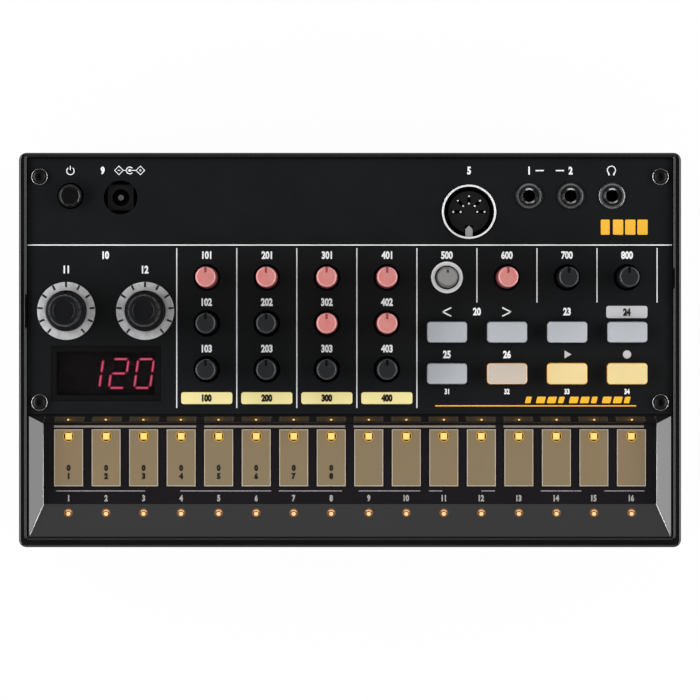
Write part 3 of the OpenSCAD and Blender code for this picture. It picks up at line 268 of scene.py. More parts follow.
finishLooks = {
    "caseGloss": dict(colour=(0.0056, 0.0056, 0.006), gloss=(0.06, 0.1), grain=0.03, specular=0.38),
    "baseSatin": dict(colour=(0.012, 0.012, 0.0125), gloss=(0.35, 0.5), grain=0.4),
    "panelCoat": dict(colour=(0.0056, 0.0062, 0.0068), gloss=(0.5, 0.6), grain=0.25, grainSize=2600,
                      specular=0.12),
    "screwBlack": dict(colour=(0.005, 0.005, 0.0053), gloss=(0.3, 0.42), specular=0.12),
    # partly painted highlight, partly real reflection: lighter grey metal rings on the black screws and
    # jack collars
    "screwRimHighlight": dict(colour=(0.52, 0.52, 0.52), gloss=(0.2, 0.28), metal=0.6, grain=0.03),
    "screwDriveHighlight": dict(colour=(0.17, 0.17, 0.17), gloss=(0.2, 0.28), metal=0.6, grain=0.03),
    "collarRimHighlight": dict(colour=(0.15, 0.154, 0.158), gloss=(0.16, 0.24), metal=0.6, grain=0.03),
    "wallGloss": dict(colour=(0.13, 0.118, 0.112), gloss=(0.12, 0.2), metal=1.0, grain=0.03),
    "keySteel": dict(colour=(0.36, 0.36, 0.36), gloss=(0.3, 0.4), metal=0.3),
    "pinSteel": dict(colour=(0.3, 0.3, 0.305), gloss=(0.3, 0.4), metal=0.6),
    "screwZinc": dict(colour=(0.55, 0.55, 0.56), gloss=(0.25, 0.4), metal=1.0),
    "footRubber": dict(colour=(0.02, 0.02, 0.02), gloss=(0.75, 0.9), grain=0.6),
    "boardGloss": dict(colour=(0.0105, 0.0095, 0.0115), gloss=(0.16, 0.24), grain=0.05, specular=0.3),
    "padFilm": dict(colour=(0.285, 0.202, 0.113), drift=0.06, driftSize=42, gloss=(0.38, 0.5),
                    grain=0.2, metal=0.2, otherColour=(0.23, 0.18, 0.104)),
    "padRim": dict(colour=(0.58, 0.51, 0.4), drift=0.1, gloss=(0.3, 0.42), metal=0.2),
    "stepLamp": dict(colour=(0.28, 0.22, 0.06), glow=(0.82, 0.58, 0.17), glowStrength=1.0),
    # painted glow: the printed ring round each step light shines as if lit by it
    "goldRing": dict(colour=(0.5, 0.27, 0.04), gloss=(0.2, 0.3), metal=0.4, glow=(0.8, 0.38, 0.03),
                     glowStrength=0.55),
    # painted reflections of the step lights in the tray's slopes: glowing marks, not lamps
    "amberGlint": dict(colour=(0.5, 0.28, 0.12), glow=(0.95, 0.6, 0.28), glowStrength=0.7),
    "amberHalo": dict(colour=(0.07, 0.028, 0.008), glow=(0.3, 0.1, 0.01), glowStrength=0.4),
    "cableWhite": dict(colour=(0.6, 0.58, 0.5)),
    "boardGreen": dict(colour=(0.015, 0.09, 0.045), gloss=(0.2, 0.3)),
    "potBlue": dict(colour=(0.03, 0.07, 0.22)),
    "switchBlack": dict(colour=(0.025, 0.025, 0.027)),
    "switchWhite": dict(colour=(0.7, 0.7, 0.66)),
    "peachLamp": dict(colour=(1.0, 0.5, 0.25), glow=(1.0, 0.4, 0.15), glowStrength=0.6),
    "moduleBlack": dict(colour=(0.0044, 0.0044, 0.0044), gloss=(0.6, 0.7), specular=0.2),
    "segmentLit": dict(colour=(0.1, 0.01, 0.02), glow=(0.66, 0.1, 0.19), glowStrength=1.0),
    "segmentEdge": dict(colour=(0.02, 0.003, 0.006), glow=(0.17, 0.004, 0.022), glowStrength=1.0),
    "segmentDark": dict(colour=(0.0062, 0.0046, 0.005), gloss=(0.6, 0.7), specular=0.2),
    # painted highlight: the bevelled rim is paler than the face
    "ringSilver": dict(colour=(0.47, 0.47, 0.48), drift=0.18, driftSize=420, gloss=(0.4, 0.55),
                       metal=0.1, rimPaintedShading=(0.7, 0.7, 0.71)),
    "borderBlack": dict(colour=(0.003, 0.003, 0.0031), gloss=(0.45, 0.55), specular=0.12),
    "tickBlack": dict(colour=(0.006, 0.006, 0.006), gloss=(0.5, 0.6)),
    "speedRing": dict(colour=(0.74, 0.74, 0.75), drift=0.08, gloss=(0.35, 0.5)),
    # painted shade: the shell's steep faces are dark
    "shellNickel": dict(colour=(0.9, 0.9, 0.9), gloss=(0.3, 0.42), metal=0.2, rimPaintedShading=(0.9, 0.9, 0.9),
                        sidePaintedShading=(0.06, 0.06, 0.06)),
    "jackNickel": dict(colour=(0.3, 0.3, 0.3), gloss=(0.12, 0.18), metal=1.0, grain=0.03),
    "insulator": dict(colour=(0.0075, 0.0075, 0.0078), gloss=(0.45, 0.55), specular=0.15),
    "contactTin": dict(colour=(0.85, 0.84, 0.8), gloss=(0.2, 0.3), metal=0.1),
    "socketBlack": dict(colour=(0.012, 0.012, 0.013), gloss=(0.18, 0.26)),
    "speakerSteel": dict(colour=(0.4, 0.4, 0.42), metal=1.0),
    "conePaper": dict(colour=(0.03, 0.027, 0.024), gloss=(0.8, 0.9), grain=0.8),
    "cellWrap": dict(colour=(0.5, 0.46, 0.06), metal=0.4),
    "coverSatin": dict(colour=(0.0125, 0.0125, 0.013), gloss=(0.4, 0.55), grain=0.4),
    # painted sheen: the steep sides are a little lighter than the top
    "dialSmoke": dict(colour=(0.009, 0.0094, 0.0102), gloss=(0.22, 0.3), grain=0.02, specular=0.06,
                      sidePaintedShading=(0.014, 0.0145, 0.0155)),
    # painted highlight on the rim and painted shade on the steep sides
    "knobDark": dict(colour=(0.0165, 0.018, 0.0195), gloss=(0.25, 0.35), grain=0.08,
                     rimPaintedShading=(0.03, 0.032, 0.034), sidePaintedShading=(0.006, 0.006, 0.007), specular=0.3),
    # painted highlight on the rim, painted shade on the steep sides and a faint painted glow
    "knobPink": dict(colour=(0.56, 0.175, 0.17), drift=0.08, driftSize=320, gloss=(0.25, 0.35),
                     grain=0.08, otherColour=(0.48, 0.2, 0.18), rimPaintedShading=(0.6, 0.26, 0.26),
                     sidePaintedShading=(0.19, 0.065, 0.065), specular=0.35, glow=(0.9, 0.2, 0.17),
                     glowStrength=0.045),
    # painted shade on the rim and on the steep sides
    "knobGrey": dict(colour=(0.23, 0.222, 0.213), drift=0.08, gloss=(0.25, 0.35), grain=0.08,
                     rimPaintedShading=(0.11, 0.108, 0.105), sidePaintedShading=(0.035, 0.034, 0.033)),
    # painted shade filling the knobs' pointer notches
    "notchShadeRed": dict(colour=(0.3, 0.055, 0.055)),
    "notchShadeGrey": dict(colour=(0.17, 0.165, 0.155)),
    "notchShadeBlack": dict(colour=(0.002, 0.002, 0.002), gloss=(0.5, 0.6), specular=0.08),
    # painted shade on the rim and on the steep sides
    "keyGrey": dict(colour=(0.42, 0.44, 0.47), drift=0.06, gloss=(0.35, 0.45),
                    rimPaintedShading=(0.3, 0.32, 0.36), sidePaintedShading=(0.12, 0.13, 0.15)),
    # keys lit from below by their lamps: that light is painted, as a faint glow and an orange rim and
    # sides
    "keyPeach": dict(colour=(0.5, 0.45, 0.39), drift=0.06, gloss=(0.35, 0.45),
                     rimPaintedShading=(0.8, 0.5, 0.28), sidePaintedShading=(0.45, 0.2, 0.08),
                     glow=(1.0, 0.5, 0.2), glowStrength=0.04),
    "keyAmber": dict(colour=(0.68, 0.55, 0.27), drift=0.06, gloss=(0.35, 0.45),
                     rimPaintedShading=(0.95, 0.5, 0.08), sidePaintedShading=(0.8, 0.3, 0.03),
                     glow=(1.0, 0.62, 0.2), glowStrength=0.1),
    "powerGloss": dict(colour=(0.0055, 0.0055, 0.006), gloss=(0.06, 0.1), grain=0.02, specular=0.3),
    "inkWhite": dict(colour=(0.88, 0.89, 0.9), drift=0.04, gloss=(0.55, 0.7), specular=0.3),
    "signGrey": dict(colour=(0.5, 0.5, 0.5), drift=0.05, gloss=(0.5, 0.6), specular=0.3),
    # painted highlight along the tray's mitres and the feet of its sides
    "mitreHighlight": dict(colour=(0.85, 0.85, 0.85), drift=0.1, gloss=(0.15, 0.25)),
    "inkGrey": dict(colour=(0.34, 0.33, 0.315), drift=0.05, gloss=(0.5, 0.6), specular=0.3),
    "inkTan": dict(colour=(0.27, 0.23, 0.19), drift=0.05, gloss=(0.4, 0.5)),
    "inkBlack": dict(colour=(0.005, 0.005, 0.005), gloss=(0.5, 0.6), specular=0.3),
    "tagYellow": dict(colour=(0.83, 0.73, 0.33), drift=0.04, gloss=(0.55, 0.7), specular=0.3),
    "tagGrey": dict(colour=(0.5, 0.5, 0.51), drift=0.04, gloss=(0.55, 0.7), specular=0.3),
    "inkAmber": dict(colour=(0.86, 0.45, 0.035), drift=0.05, gloss=(0.5, 0.6), specular=0.3),
}
finishes = {name: mouldedFinish(name, **look) for name, look in finishLooks.items()}

windowLook = {
    "bend": 1.3,            # index of refraction
    "hazeScale": 120,
    "tints": ((0.9, 0.84, 0.86, 1), (0.96, 0.9, 0.92, 1)),
    "roughest": 0.05,
}


# clear smoked acrylic over the digits
def smokedWindow():
    material = bpy.data.materials.new("windowSmoke")
    material.use_nodes = True
    tree = material.node_tree
    put, link = tree.nodes.new, tree.links.new
    shader = tree.nodes["Principled BSDF"]
    shader.inputs["Transmission Weight"].default_value = 1.0
    shader.inputs["IOR"].default_value = windowLook["bend"]
    coords = put("ShaderNodeTexCoord")
    haze = put("ShaderNodeTexNoise")
    haze.inputs["Scale"].default_value = windowLook["hazeScale"]
    link(coords.outputs["Object"], haze.inputs["Vector"])
    tint = put("ShaderNodeValToRGB")
    for stop, colour in zip(tint.color_ramp.elements, windowLook["tints"]):
        stop.color = colour
    link(haze.outputs["Fac"], tint.inputs["Fac"])
    link(tint.outputs["Color"], shader.inputs["Base Color"])
    matt = put("ShaderNodeMapRange")
    matt.inputs["To Min"].default_value = 0.0
    matt.inputs["To Max"].default_value = windowLook["roughest"]
    link(haze.outputs["Fac"], matt.inputs["Value"])
    link(matt.outputs["Result"], shader.inputs["Roughness"])
    return material


finishes["windowSmoke"] = smokedWindow()
print("finishes mixed:", len(finishes))

# the frame's own pieces

recordSlots = {part["node"]: part["material_slot"] for part in frame["record"]["subparts"]}
slotFinish = {
    "case_black": "caseGloss", "bottom_black": "baseSatin", "panel_black": "panelCoat",
    "screw_black": "screwBlack", "screw_steel": "screwZinc", "foot_rubber": "footRubber",
    "touch_black": "boardGloss", "pad_bronze": "padFilm", "light_yellow": "stepLamp",
    "ribbon_white": "cableWhite", "board_green": "boardGreen", "pot_blue": "potBlue",
    "switch_black": "switchBlack", "switch_white": "switchWhite", "lamp_peach": "peachLamp",
    "window_black": "windowSmoke", "module_black": "moduleBlack", "segment_red": "segmentDark",
    "ring_metal": "ringSilver", "ring_grey": "speedRing", "shell_nickel": "shellNickel",
    "insulator_black": "insulator", "contact_tin": "contactTin", "socket_black": "socketBlack",
    "speaker_steel": "speakerSteel", "cone_paper": "conePaper", "cell_wrap": "cellWrap",
    "cover_black": "coverSatin", "dial_smoke": "dialSmoke", "knob_dark": "knobDark",
    "knob_pink": "knobPink", "knob_grey": "knobGrey", "button_grey": "keyGrey",
    "button_peach": "keyPeach", "button_amber": "keyAmber", "power_black": "powerGloss",
}


def bodyOf(node):
    return node if node.endswith(("_knob", "_button")) or node == "battery_cover" else "chassis"


def coat(piece, finish):
    piece.data.materials.clear()
    piece.data.materials.append(finishes[finish])


for node, piece in nodes.items():
    coat(piece, "pinSteel" if node == "power_socket_pin" else slotFinish[recordSlots[node]])

edgeLook = {
    "merge": 0.002,         # vertices nearer than this are one, mm
    "flat": 1,              # faces that lean less than this to each other are one, degrees
    "sharpest": 32,         # edges sharper than this are softened
    "crease": 50,           # and sharper than this stay sharp in the shading
    "knob": 0.14,           # widths of the softened edges, mm
    "dial": 0.07,
    "key": 0.3,
    "power": 0.16,
}
edgeWidths = {
    "panel_screws": 0.22, "dial_rings": 0.12, "speed_knob_ring": 0.12, "data_socket_shell": 0.1,
    "data_socket_contacts": 0.2, "sync_sockets": 0.34, "headphone_socket": 0.34,
    "step_lights": 0.15, "battery_cover": 0.25, "rubber_feet": 0.4,
}


# a copy of a frame piece with merged faces and softened edges takes its place
def softenPiece(node, width):
    shape = bmesh.new()
    shape.from_mesh(nodes[node].data)
    bmesh.ops.remove_doubles(shape, verts=shape.verts, dist=edgeLook["merge"] * mm)
    bmesh.ops.dissolve_limit(shape, angle_limit=math.radians(edgeLook["flat"]), verts=shape.verts,
                             edges=shape.edges)
    corners = [edge for edge in shape.edges
               if edge.is_manifold and edge.calc_face_angle(0) > math.radians(edgeLook["sharpest"])]
    bmesh.ops.bevel(shape, geom=corners, offset=width * mm, segments=2, profile=0.5,
                    affect="EDGES", clamp_overlap=True, material=-1)
    for face in shape.faces:
        face.smooth = node != "battery_cover"
    for edge in shape.edges:
        if edge.is_manifold and edge.calc_face_angle(0) > math.radians(edgeLook["crease"]):
            edge.smooth = False
    mesh = bpy.data.meshes.new(node + "_soft")
    shape.to_mesh(mesh)
    shape.free()
    piece = bpy.data.objects.new(node + "_soft", mesh)
    bpy.context.scene.collection.objects.link(piece)
    coat(piece, slotFinish[recordSlots[node]])
    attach(piece, bodyOf(node))
    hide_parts(node)


for node in nodes:
    if node.endswith("_knob"):
        edgeWidths[node] = edgeLook["dial" if recordSlots[node] == "dial_smoke" else "knob"]
    elif node.endswith("_button"):
        edgeWidths[node] = edgeLook["power" if node == "power_button" else "key"]
for node, width in edgeWidths.items():
    softenPiece(node, width)
print("edges softened:", len(edgeWidths))


# a new piece from a bmesh, riding on its body
def addPiece(name, shape, finish, slot, body="chassis", smooth=False):
    mesh = bpy.data.meshes.new(name)
    for face in shape.faces:
        face.smooth = smooth
    shape.to_mesh(mesh)
    shape.free()
    piece = bpy.data.objects.new(name, mesh)
    bpy.context.scene.collection.objects.link(piece)
    coat(piece, finish)
    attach(piece, body)
    return piece


# flat print: faces drawn at z = 0, given their thickness and laid on a surface at the end
def layPrint(name, shape, top, finish, slot, body="chassis", thick=printThick):
    bmesh.ops.recalc_face_normals(shape, faces=shape.faces)
    for face in shape.faces:
        if face.normal.z < 0:
            face.normal_flip()
    lifted = bmesh.ops.extrude_face_region(shape, geom=shape.faces[:], use_keep_orig=True)
    raised = [part for part in lifted["geom"] if isinstance(part, bmesh.types.BMVert)]
    bmesh.ops.translate(shape, verts=raised, vec=(0, 0, thick))
    bmesh.ops.recalc_face_normals(shape, faces=shape.faces)
    place = Matrix.Translation((0, 0, top * mm)) @ Matrix.Scale(mm, 4)
    bmesh.ops.transform(shape, matrix=place, verts=shape.verts)
    return addPiece(name, shape, finish, slot, body)


def addBar(shape, left, right, low, high, corner=0.0, slant=0.0):
    made = bmesh.ops.create_grid(shape, x_segments=1, y_segments=1, size=0.5)
    verts = made["verts"]
    bmesh.ops.scale(shape, verts=verts, vec=(right - left, high - low, 1))
    if slant:
        for vert in verts:
            vert.co.x += vert.co.y * slant
    bmesh.ops.translate(shape, verts=verts, vec=((left + right) / 2, (low + high) / 2, 0))
    if corner:
        bmesh.ops.bevel(shape, geom=verts, offset=corner, segments=4, profile=0.5, affect="VERTICES",
                        material=-1)


def addStroke(shape, start, end, width):
    start, end = Vector(start), Vector(end)
    along = end - start
    middle = (start + end) / 2
    made = bmesh.ops.create_grid(shape, x_segments=1, y_segments=1, size=0.5)
    turn = Matrix.Translation((*middle, 0)) @ Matrix.Rotation(math.atan2(along.y, along.x), 4, "Z")
    bmesh.ops.scale(shape, verts=made["verts"], vec=(along.length + width * strokeOver, width, 1))
    bmesh.ops.transform(shape, matrix=turn, verts=made["verts"])


def addDisc(shape, centre, radius, steps=24, turn=0.0):
    place = Matrix.Translation((*centre, 0)) @ Matrix.Rotation(turn, 4, "Z")
    bmesh.ops.create_circle(shape, cap_ends=True, segments=steps, radius=radius, matrix=place)


def addArc(shape, centre, inner, outer, start=0.0, sweep=360.0, steps=40):
    first = math.radians(start)
    way = Vector((math.cos(first), math.sin(first), 0))
    middle = Vector((*centre, 0))
    ends = [shape.verts.new(middle + way * inner), shape.verts.new(middle + way * outer)]
    edge = shape.edges.new(ends)
    bmesh.ops.spin(shape, geom=ends + [edge], cent=middle, axis=(0, 0, 1), angle=math.radians(sweep),
                   steps=steps, use_merge=sweep == 360)


def addWords(shape, words, centre, height, narrow=0.78, weight=0.045):
    curve = bpy.data.curves.new("words", "FONT")
    curve.body = words
    curve.offset = weight
    curve.resolution_u = 4
    holder = bpy.data.objects.new("words", curve)
    mesh = bpy.data.meshes.new_from_object(holder)
    spots = [vert.co for vert in mesh.vertices]
    low = Vector([min(spot[axis] for spot in spots) for axis in (0, 1)])
    high = Vector([max(spot[axis] for spot in spots) for axis in (0, 1)])
    scale = height / (high.y - low.y)
    middle = (low + high) / 2
    place = (Matrix.Translation((*centre, 0)) @ Matrix.Diagonal((scale * narrow, scale, 1, 1))
             @ Matrix.Translation((-middle.x, -middle.y, 0)))
    mesh.transform(place)
    shape.from_mesh(mesh)
    bpy.data.meshes.remove(mesh)
    bpy.data.objects.remove(holder)
    bpy.data.curves.remove(curve)


# print on the control panel

columnX = [-41.75, -24.25, -6.75, 10.75, 28.25, 45.75, 63.25, 80.75]
knobRowY = [21.15, 7.75, -5.65]
voiceColumns = 4         # from the left, with three knobs and a tag each

panelPrint = {
    "crossRule": 0.3,       # thickness of the white lines, mm
    "rule": 0.28,
    "cross": (-94.0, 93.8, 30.6),   # ends and place of the line right across
    "longLines": (-50.5, -33.0, -15.5, 2.0, 19.5),
    "shortLines": (37.0, 54.5, 72.0, 89.5),
    "lineTop": 29.7,
    "longFoot": -16.9,
    "shortFoot": 13.85,
    "letter": 2.3,          # height of the numbers
    "smallLetter": 1.6,
    "knobNumberY": (27.65, 13.95, 0.4),
    "numbers": (            # number, x, y
        ("10", -71.2, 27.65), ("11", -82.7, 23.45), ("12", -59.7, 23.45),     # dials
        ("20", 37.0, 11.2), ("23", 63.25, 11.2), ("25", 28.25, -1.3), ("26", 45.75, -1.3),     # buttons
        ("9", -72.1, 52.3), ("5", 34.7, 52.3), ("1", 52.2, 52.3), ("2", 64.3, 52.3),     # sockets
    ),
    "smallNumbers": (("31", 28.25), ("32", 45.75), ("33", 63.25), ("34", 80.75)),
    "smallY": -12.1,
    "strokes": (            # start, end, width
        ((54.2, 52.3), (56.4, 52.3), 0.35),       # between the sync sockets' numbers
        ((60.1, 52.3), (62.3, 52.3), 0.35),
        ((-81.5, 52.5), (-81.5, 53.6), 0.26),     # power
        ((-67.65, 52.35), (-67.05, 52.35), 0.2),      # minus and plus of the polarity sign
        ((-61.4, 52.35), (-60.8, 52.35), 0.2),
        ((-61.1, 52.05), (-61.1, 52.65), 0.2),
        ((-65.95, 52.35), (-65.2, 52.35), 0.24),      # and the lines that join them
        ((-63.9, 52.35), (-62.5, 52.35), 0.24),
        ((75.25, 51.75), (75.55, 51.05), 0.42),       # headphones
        ((77.15, 51.75), (76.85, 51.05), 0.42),
        ((27.0, 11.1), (29.4, 12.3), 0.4),        # arrows
        ((27.0, 11.1), (29.4, 9.9), 0.4),
        ((46.9, 11.1), (44.5, 12.3), 0.4),
        ((46.9, 11.1), (44.5, 9.9), 0.4),
    ),
    "arcs": (               # middle, inner and outer radius, first angle, sweep, steps
        ((-81.5, 52.2), 0.95, 1.22, 125, 290, 24),    # power
        ((-67.35, 52.35), 1.12, 1.4, 0, 360, 4),      # diamonds of the polarity sign
        ((-61.1, 52.35), 1.12, 1.4, 0, 360, 4),
        ((-64.2, 52.35), 0.85, 1.12, 40, 280, 20),    # and its ring
        ((76.2, 52.4), 1.05, 1.32, -35, 250, 24),     # headphones
    ),
    "pin": ((-64.2, 52.35), 0.4),
    "play": ((63.2, -1.3), 1.35),
    "record": ((80.75, -1.3), 1.2),
}


def printPanel():
    look = panelPrint
    shape = bmesh.new()
    left, right, y = look["cross"]
    half = look["crossRule"] / 2
    addBar(shape, left, right, y - half, y + half)
    half = look["rule"] / 2
    for x in look["longLines"]:
        addBar(shape, x - half, x + half, look["longFoot"], look["lineTop"])
    for x in look["shortLines"]:
        addBar(shape, x - half, x + half, look["shortFoot"], look["lineTop"])
    # hundreds count the columns, ones the rows
    for column, x in enumerate(columnX):
        full = column < voiceColumns
        for row, y in enumerate(look["knobNumberY"] if full else look["knobNumberY"][:1]):
            number = (column + 1) * 100 + (row + 1 if full else 0)
            addWords(shape, str(number), (x, y), look["letter"])
    for number, x, y in look["numbers"]:
        addWords(shape, number, (x, y), look["letter"])
    for number, x in look["smallNumbers"]:
        addWords(shape, number, (x, look["smallY"]), look["smallLetter"])
    for stroke in look["strokes"]:
        addStroke(shape, *stroke)
    for arc in look["arcs"]:
        addArc(shape, *arc)
    addDisc(shape, *look["pin"])
    layPrint("panel_print", shape, panelTop, "inkWhite", "panel_black")
    shape = bmesh.new()
    addDisc(shape, *look["play"], steps=3, turn=math.radians(-90))
    addDisc(shape, *look["record"])
    layPrint("start_signs", shape, panelTop, "signGrey", "panel_black")


tagPrint = {
    "half": 7.45,           # half the width of a voice tag, mm
    "voice": (-15.75, -12.3),
    "corner": 0.7,
    "numberY": -14.0,
    "letter": 2.2,
    "weight": 0.07,
    "function": (74.7, 86.7, 9.3, 12.85),
    "functionNumber": ("24", (80.7, 11.05)),
    # plain amber bars and slanted blocks
    "barWidths": (2.6, 3.0, 3.0, 3.0),
    "bars": (73.1, 3.55, 33.6, 38.0, 0.3),        # start, pitch, foot, top and corner
    "blockCount": 10,
    "blockWidths": (1.6, 2.5, 2.5),
    "blocks": (51.2, 3.2, -15.5, -13.6, 0.25),
    "slant": 0.25,
    "underline": (24.8, 83.4, -16.45, -16.1),
}


def printTags():
    look = tagPrint
    shape = bmesh.new()
    numbers = bmesh.new()
    for column in range(voiceColumns):
        x = columnX[column]
        number = str((column + 1) * 100)
        addBar(shape, x - look["half"], x + look["half"], *look["voice"], corner=look["corner"])
        addWords(numbers, number, (x, look["numberY"]), look["letter"], weight=look["weight"])
    layPrint("voice_tags", shape, panelTop, "tagYellow", "panel_black")
    shape = bmesh.new()
    addBar(shape, *look["function"], corner=look["corner"])
    addWords(numbers, *look["functionNumber"], look["letter"], weight=look["weight"])
    layPrint("function_tag", shape, panelTop, "tagGrey", "panel_black")
    layPrint("tag_numbers", numbers, panelTop + printThick, "inkBlack", "panel_black")
    shape = bmesh.new()
    start, pitch, foot, top, corner = look["bars"]
    for i, width in enumerate(look["barWidths"]):
        left = start + i * pitch
        addBar(shape, left, left + width, foot, top, corner=corner)
    start, pitch, foot, top, corner = look["blocks"]
    for i in range(look["blockCount"]):
        left = start + i * pitch
        width = look["blockWidths"][i % 3]
        addBar(shape, left, left + width, foot, top, corner=corner, slant=look["slant"])
    addBar(shape, *look["underline"])
    layPrint("amber_print", shape, panelTop, "inkAmber", "panel_black")


printPanel()
printTags()
print("control panel printed")

# touch board

padLook = {
    "count": 16,
    "pitch": 10.965,
    "backY": -23.2,
    "length": 16.6,
    "width": 8.4,
    "border": 0.22,
    "lightY": -25.2,
    "ring": (1.4, 1.6),     # radii of the ring round each light
    "ringThick": 0.1,
    "numbered": 8,          # pads with two numbers, from the left
    "upperY": -34.45,
    "lowerY": -36.85,
    "digit": 1.85,
    "digitNarrow": 0.9,
    "digitWeight": 0.075,
    "labelY": -43.3,
    "label": 1.9,
    "labelWeight": 0.05,
    "dashes": ((-85.9, -79.4), (-79.4, -59.9), (-49.6, -23.1), (-20.8, -2.3), (2.5, 20.5),
               (23.1, 27.0), (38.4, 42.4), (55.7, 67.6), (74.3, 86.0)),
    "dashY": (-41.3, -41.08),
    "groups": ((-86.5, -45.0), (-42.6, -1.4), (1.1, 42.5), (44.9, 85.9)),
    "groupY": (-22.65, -22.05),
}


def padX(index):
    return (index - (padLook["count"] - 1) / 2) * padLook["pitch"]


def dressTouchBoard():
    look = padLook
    rims = bmesh.new()
    rings = bmesh.new()
    digits = bmesh.new()
    labels = bmesh.new()
    for index in range(look["count"]):
        x = padX(index)
        number = str(index + 1)
        left, right = x - look["width"] / 2, x + look["width"] / 2
        back, front = look["backY"], look["backY"] - look["length"]
        edge = look["border"]
        addBar(rims, left, left + edge, front, back)
        addBar(rims, right - edge, right, front, back)
        addBar(rims, left + edge, right - edge, back - edge, back)
        addBar(rims, left + edge, right - edge, front, front + edge)
        addArc(rings, (x, look["lightY"]), *look["ring"], steps=32)
        if index < look["numbered"]:
            for word, y in (("0", look["upperY"]), (number, look["lowerY"])):
                addWords(digits, word, (x, y), look["digit"], look["digitNarrow"], look["digitWeight"])
        addWords(labels, number, (x, look["labelY"]), look["label"], weight=look["labelWeight"])
    layPrint("pad_rims", rims, padTop, "padRim", "pad_bronze")
    # the rings carry a painted glow of the step lights
    layPrint("light_rings", rings, padTop, "goldRing", "pad_bronze", thick=look["ringThick"])
    layPrint("pad_numbers", digits, padTop, "inkBlack", "pad_bronze")
    for start, end in look["dashes"]:
        addBar(labels, start, end, *look["dashY"])
    layPrint("board_labels", labels, boardTop, "inkGrey", "touch_black")
    shape = bmesh.new()
    for left, right in look["groups"]:
        addBar(shape, left, right, *look["groupY"])
    layPrint("group_lines", shape, boardTop, "inkTan", "touch_black")


# small amber glints of the step lights, painted as glowing marks in place of their reflections: a dot
# under an arc in the tray's front slope, and a bead in its back wall
glintLook = {
    "y": -47.65,
    "run": 9.4,             # width of the front slope in plan, mm
    "halo": 1.3,
    "haloRise": 0.15,
    "dot": 0.6,
    "dotRise": -0.2,
    "arc": (0.74, 0.96, 25, 120, 10),     # radii, first angle, sweep and steps
    "arcRise": 0.05,
    "lift": 0.02,
    "bead": 0.32,
    "beadPlace": (-20.3, 33.22),
}


def addGlints():
    look = glintLook
    slope = trayDepth / look["run"]
    tilt = Matrix.Translation((0, look["y"], boardTop + (trayFoot - look["y"]) * slope)) @ \
        Matrix.Rotation(-math.atan2(trayDepth, look["run"]), 4, "X")
    halos, glints, beads = bmesh.new(), bmesh.new(), bmesh.new()
    for index in range(padLook["count"]):
        x = padX(index)
        addDisc(halos, (x, look["haloRise"]), look["halo"])
        addDisc(glints, (x, look["dotRise"]), look["dot"])
        addArc(glints, (x, look["arcRise"]), *look["arc"])
        made = bmesh.ops.create_uvsphere(beads, u_segments=10, v_segments=6, radius=look["bead"])
        bmesh.ops.translate(beads, vec=(x, *look["beadPlace"]), verts=made["verts"])
    for name, shape, finish, lift in (("slope_halos", halos, "amberHalo", 0.0),
                                      ("slope_glints", glints, "amberGlint", look["lift"])):
        piece = layPrint(name, shape, lift, finish, "light_yellow", thick=look["lift"])
        piece.data.transform(Matrix.Scale(mm, 4) @ tilt @ Matrix.Scale(1 / mm, 4))
    bmesh.ops.transform(beads, matrix=Matrix.Scale(mm, 4), verts=beads.verts)
    addPiece("wall_glints", beads, "amberGlint", "light_yellow", smooth=True)


dressTouchBoard()
addGlints()
print("touch board dressed")

# display

litSegments = {
    "1": ("rightTop", "rightLow"),
    "2": ("top", "rightTop", "middle", "leftLow", "foot"),
    "0": ("top", "rightTop", "rightLow", "foot", "leftLow", "leftTop"),
}
digitLook = {
    "shown": (("1", -74.9), ("2", -67.5), ("0", -60.1)),      # and their middles, mm
    "spots": {"top": (0.6, -2.65), "middle": (0, -6.85), "foot": (-0.6, -11.05),
              "leftTop": (-2.0, -4.75), "leftLow": (-2.6, -8.95),
              "rightTop": (2.6, -4.75), "rightLow": (2.0, -8.95)},
    "near": 0.9,            # a segment this near to a lit place is lit
    "level": 0.9,           # how far up a face has to look to be its top
    "core": 0.24,           # width of the darker edge round its bright core
    "window": (-87.08, -55.32, -14.78, 1.08),
    "border": 1.65,
    "borderThick": 0.02,
}


# parts of a shape that hang together, as lists of vertices
def islandsOf(shape):
    seen = set()
    for start in shape.verts:
        if start in seen:
            continue
        island, queue = [], [start]
        seen.add(start)
        while queue:
            vert = queue.pop()
            island.append(vert)
            for edge in vert.link_edges:
                other = edge.other_vert(vert)
                if other not in seen:
                    seen.add(other)
                    queue.append(other)
        yield island


